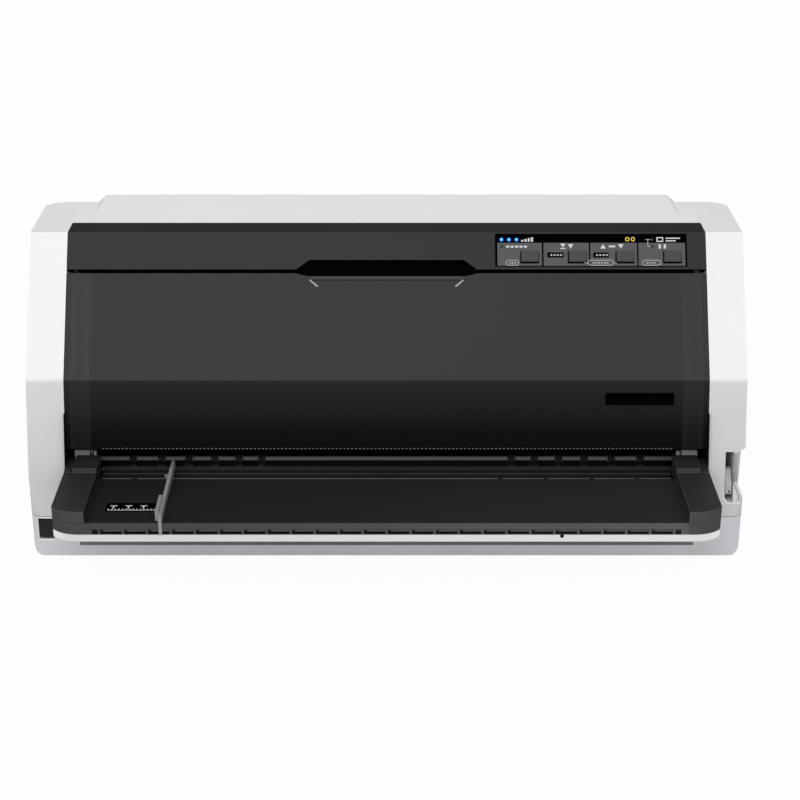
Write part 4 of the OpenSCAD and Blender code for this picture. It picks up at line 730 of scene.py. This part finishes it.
on_panel("lamp_glow", [plate(round_rect(x - 1.65, x + 1.65, -5.75, -2.45, 1.64), PLANE, PLANE + 0.03)
                       for x in LIT_LAMPS], GLOW)
for number, button_x in enumerate(BUTTON_X, 1):
    on_panel(f"key_mark_{number}", [slab(button_x - 1.5, button_x + 1.5, -15.0, -14.5, 1.68, 1.74)],
             LINE, bodies[f"button_{number}"])

# ---------------------------------------------------------------- front cover trim
COVER = bodies["front_cover"]
LOWER_FRAME = lower_frame()
FOOT_ALONG = (76.7 - BASE_Z) / math.sin(LOWER)
# Painted highlight: a lighter strip along the cover's lip.
add("cover_lip", slab(-51.2, 51.2, -31.5, -29.3, 0.0, 0.1), LIP_HIGHLIGHT, COVER, matrix=PRINT_FRAME)
add("cover_lip_line", slab(-48.7, 48.7, -32.1, -31.5, 0.0, 0.08), SEAM, COVER, matrix=PRINT_FRAME)
# The glints are painted highlights at the corners of the cover's lip.
right_glint = [(51.3, -31.6), (51.9, -32.0), (47.2, -36.2), (46.0, -36.4), (46.0, -35.9)]
left_glint = [(-x, y) for x, y in right_glint[::-1]]
for name, outline in (("cover_glint_left", left_glint), ("cover_glint_right", right_glint)):
    add(name, plate(outline, 0.0, 0.1), PRINT_AND_GLINT, COVER, matrix=PRINT_FRAME)
add("cover_label", slab(145.7, 191.5, 76.0, 84.1, 0.0, 0.35, 0.15), PANEL, COVER, matrix=LOWER_FRAME)
# Tiny ribs along the cover's foot, light grey as a painted highlight of the light they catch.
foot_ribs = dashes(-190, -188.9, 2.6, 147, FOOT_ALONG - 0.2, FOOT_ALONG + 0.45, -0.9, 0.12)
add("cover_foot_ribs", merge(foot_ribs), SHAFT_AND_RIB_HIGHLIGHT, COVER, matrix=LOWER_FRAME)

# ---------------------------------------------------------------- tray trim
TRAY_BODY = bodies["tray_body"]
# Turns a plate so that its outline lies in y and z, and its thickness in x.
UPRIGHT = Matrix(((0, 0, 1, 0), (1, 0, 0, 0), (0, 1, 0, 0), (0, 0, 0, 1)))
CHEEK_Y = (-107.7, -105.6)
BED_PRINT = (57.7, 57.82)

add("left_cheek_bars", merge([slab(-210.3, -200.2, *CHEEK_Y, 60.0, 71.8, 0.3),
                              slab(-197.4, -195.6, *CHEEK_Y, 60.0, 71.4, 0.3)]), CHEEK, TRAY_BODY)
add("right_cheek_bars", merge([slab(199.0, 209.5, *CHEEK_Y, 60.0, 71.8, 0.3),
                               slab(195.3, 197.6, *CHEEK_Y, 60.0, 71.0, 0.3)]), CHEEK, TRAY_BODY)
mouth_outline = [(-126.5, 47), (-122.0, 66), (-119.5, 75), (-112, 100), (-62, 100), (-62, 47)]
for name, x0, x1 in (("left_mouth_wall", -214.98, -214.72), ("right_mouth_wall", 214.72, 214.98)):
    add(name, plate(mouth_outline, x0, x1), GUIDE, HOUSING, matrix=UPRIGHT)

# Painted highlight: light strips along the back edge of the bed, between its gaps.
gaps = [-192.0, -168.6, 76.3, 106.8, 137.5, 167.8, 192.0]
back_line = [slab(x0 + 1.5, x1 - 1.5, -122.2, -120.9, 57.48, 57.66) for x0, x1 in zip(gaps, gaps[1:])]
add("bed_back_highlight", merge(back_line), BED_LINE_HIGHLIGHT, bodies["front_paper_guide"])

LIP_END, TONGUE_STEP = 188.2, 15.3
tongues = []
for i in range(-13, 13):
    x0 = max(-LIP_END, TONGUE_STEP * i + 0.8)
    x1 = min(LIP_END, TONGUE_STEP * (i + 1) - 0.8)
    if x1 - x0 > 4:
        tongues.append(slab(x0 + 2.0, x1, -184.8, -180.5, 51.5, 52.7, 0.2))
add("lip_tongues", merge(tongues), TONGUE, TRAY_BODY)

add("scale_label", slab(-181.7, -149.2, -168.8, -157.5, 57.45, 57.75, 0.1), PANEL, TRAY_BODY)
ticks = []
for x in (-177.0, -167.3, -157.5):
    ticks.append(slab(x - 2.2, x + 2.2, -161.9, -160.9, *BED_PRINT))
    ticks.append(slab(x - 0.5, x + 0.5, -165.0, -161.5, *BED_PRINT))
ticks += dashes(-180.2, -179.6, 2.3, 14, -167.2, -165.6, *BED_PRINT)
ticks.append(slab(-180.4, -150.0, -167.8, -167.2, *BED_PRINT))
add("scale_ticks", merge(ticks), PALE, TRAY_BODY)

# Painted shade: a black disc for the dark inside of a small hole in the band.
dot_place = Matrix.Translation((112.1 * MM, -184.95 * MM, 48.3 * MM))
add("band_hole_shade", plate(round_rect(-1.25, 1.25, -1.25, 1.25, 1.24), 0.0, 0.3), SEAM,
    bodies["tray_band"], matrix=dot_place @ Matrix.Rotation(math.radians(90), 4, "X"))

# ---------------------------------------------------------------- lever channel trim
# Painted shade on the front of the channel's outer wall, which leans back from the light.
add("channel_edge", plate([(232.5, 24.0), (235.0, 24.0), (234.6, 43.4), (232.5, 43.4)], 0.0, 0.1),
    CHANNEL_SHADE, HOUSING, matrix=LOWER_FRAME)
channel_foot = [(232.5, 10.6), (235.2, 11.0), (236.2, 13.2), (232.8, 23.0), (232.5, 23.0)]
add("channel_foot", plate(channel_foot, 0.0, 0.12), FOOT_GREY, HOUSING, matrix=LOWER_FRAME)
channel_seam = [(232.7, 30.6), (232.8, 23.1), (236.3, 13.6), (236.0, 11.9), (235.0, 11.3)]
add("channel_seam", stroke(channel_seam, 0.35, 0.02, 0.16), SEAM, HOUSING, matrix=LOWER_FRAME)
# Painted highlight along the bottom edge of the lever's channel.
channel_rim_highlight = [(225.9, 15.5), (226.3, 12.3), (228.6, 9.5), (237.6, 9.5)]
add("channel_rim_highlight", stroke(channel_rim_highlight, 0.5, 0.0, 0.12), RIM_HIGHLIGHT, HOUSING, matrix=LOWER_FRAME)
add("lever_dot", plate(round_rect(229.3, 230.5, 16.6, 17.8, 0.59), -0.4, 0.1), SEAM,
    bodies["release_lever"], matrix=LOWER_FRAME)


# ---------------------------------------------------------------- base trim
def body_seam(z0, z1, proud):
    """Dark joint line round the front of the body between base and housing."""
    back_y, steps = 60.0, 8
    points = [(-HALF_W, back_y)]
    for center_x, start in ((-HALF_W + CORNER_R, 180), (HALF_W - CORNER_R, 270)):
        for i in range(steps + 1):
            angle = math.radians(start + 90 * i / steps)
            points.append((center_x + (CORNER_R + proud) * math.cos(angle),
                           FOOT_Y + CORNER_R + (CORNER_R + proud) * math.sin(angle)))
    points.append((HALF_W, back_y))
    bm = bmesh.new()
    low, high = [[bm.verts.new((x * MM, y * MM, z * MM)) for x, y in points] for z in (z0, z1)]
    for i in range(len(points) - 1):
        bm.faces.new((low[i], low[i + 1], high[i + 1], high[i]))
    return bm


BASE_BODY = bodies["base_pan"]
BASE_FRONT = (-127.95, -127.6)
add("body_seam", body_seam(31.8, 32.25, 0.06), SEAM_AND_SHADOW, BASE_BODY)
# Painted highlights along the bottom and top edges of the switch's pocket.
add("switch_rim_highlight", merge([slab(-234.9, -224.2, *BASE_FRONT, 14.3, 14.9, 0.1),
                         slab(-234.9, -224.2, *BASE_FRONT, 31.0, 31.6, 0.1)]), RIM_HIGHLIGHT, BASE_BODY)
add("base_shadow_line", slab(-207.6, 207.6, *BASE_FRONT, 10.4, 13.0, 0.1), SEAM_AND_SHADOW, BASE_BODY)


# ---------------------------------------------------------------- stage, light and camera
def mix_shaders(tree, factor, first, second, output):
    """Mixes two shaders by a (node, output) factor and sends the result to the output node."""
    mix = shader(tree, "ShaderNodeMixShader")
    links(tree, *factor, mix, "Fac")
    links(tree, first, 0, mix, 1)
    links(tree, second, 0, mix, 2)
    links(tree, mix, 0, tree.nodes[output], "Surface")


def make_floor():
    """White floor that the camera sees nearly even, with soft shadows."""
    bm = bmesh.new()
    bmesh.ops.create_grid(bm, x_segments=1, y_segments=1, size=6)
    mesh = bpy.data.meshes.new("floor")
    bm.to_mesh(mesh)
    bm.free()
    floor = place_mesh("floor", mesh)
    paper = bpy.data.materials.new("floor_paper")
    paper.use_nodes = True
    tree = paper.node_tree
    tree.nodes.remove(tree.nodes["Principled BSDF"])
    diffuse = shader(tree, "ShaderNodeBsdfDiffuse", inputs={"Color": (0.9, 0.9, 0.9, 1)})
    glow = shader(tree, "ShaderNodeEmission")
    path = shader(tree, "ShaderNodeLightPath")
    share = shader(tree, "ShaderNodeMath", "MULTIPLY", {1: 0.95})
    links(tree, path, "Is Camera Ray", share, 0)
    mix_shaders(tree, (share, "Value"), diffuse, glow, "Material Output")
    mesh.materials.append(paper)


def make_lamp(name, place, target, energy, size):
    """Square area light that looks at a target."""
    light = bpy.data.lights.new(name, "AREA")
    light.energy = energy
    light.shape = "RECTANGLE"
    light.size = size
    light.size_y = size
    lamp = bpy.data.objects.new(name, light)
    lamp.location = place
    lamp.rotation_euler = (Vector(target) - Vector(place)).to_track_quat("-Z", "Y").to_euler()
    bpy.context.scene.collection.objects.link(lamp)


def make_world():
    """Studio light that is strongest from above the front, behind a plain white backdrop."""
    world = bpy.data.worlds.new("studio")
    bpy.context.scene.world = world
    world.use_nodes = True
    tree = world.node_tree
    light = tree.nodes["Background"]
    light.inputs["Color"].default_value = (1, 1, 1, 1)
    place = shader(tree, "ShaderNodeTexCoord")
    toward = shader(tree, "ShaderNodeVectorMath", "DOT_PRODUCT", {1: (0, -0.72, 0.69)})
    links(tree, place, "Generated", toward, 0)
    strength = map_range(tree, toward, "Value", -0.1, 1.0, 0.34, 1.05)
    links(tree, strength, "Result", light, "Strength")
    backdrop = shader(tree, "ShaderNodeBackground", inputs={"Color": (1, 1, 1, 1)})
    path = shader(tree, "ShaderNodeLightPath")
    mix_shaders(tree, (path, "Is Camera Ray"), light, backdrop, "World Output")


def make_camera():
    """Camera that sees the printer from the front and above, as the photo does."""
    sensor_mm, focal_px, picture_px, down_deg = 36, 1763, 800, 24
    data = bpy.data.cameras.new("camera")
    data.sensor_width = sensor_mm
    data.lens = sensor_mm * focal_px / picture_px
    data.shift_x = 0.01675
    camera = bpy.data.objects.new("camera", data)
    camera.location = (0, -1.179, 0.586)
    camera.rotation_euler = (math.radians(90 - down_deg), 0, 0)
    bpy.context.scene.collection.objects.link(camera)
    bpy.context.scene.camera = camera


make_floor()
make_lamp("key", (-0.35, -1.7, 1.7), (0, -0.05, 0.1), 11, 1.2)
make_lamp("top", (0, 0.3, 2.4), (0, 0, 0.1), 5, 2.0)
make_world()
make_camera()
bpy.context.scene.view_settings.view_transform = "Standard"
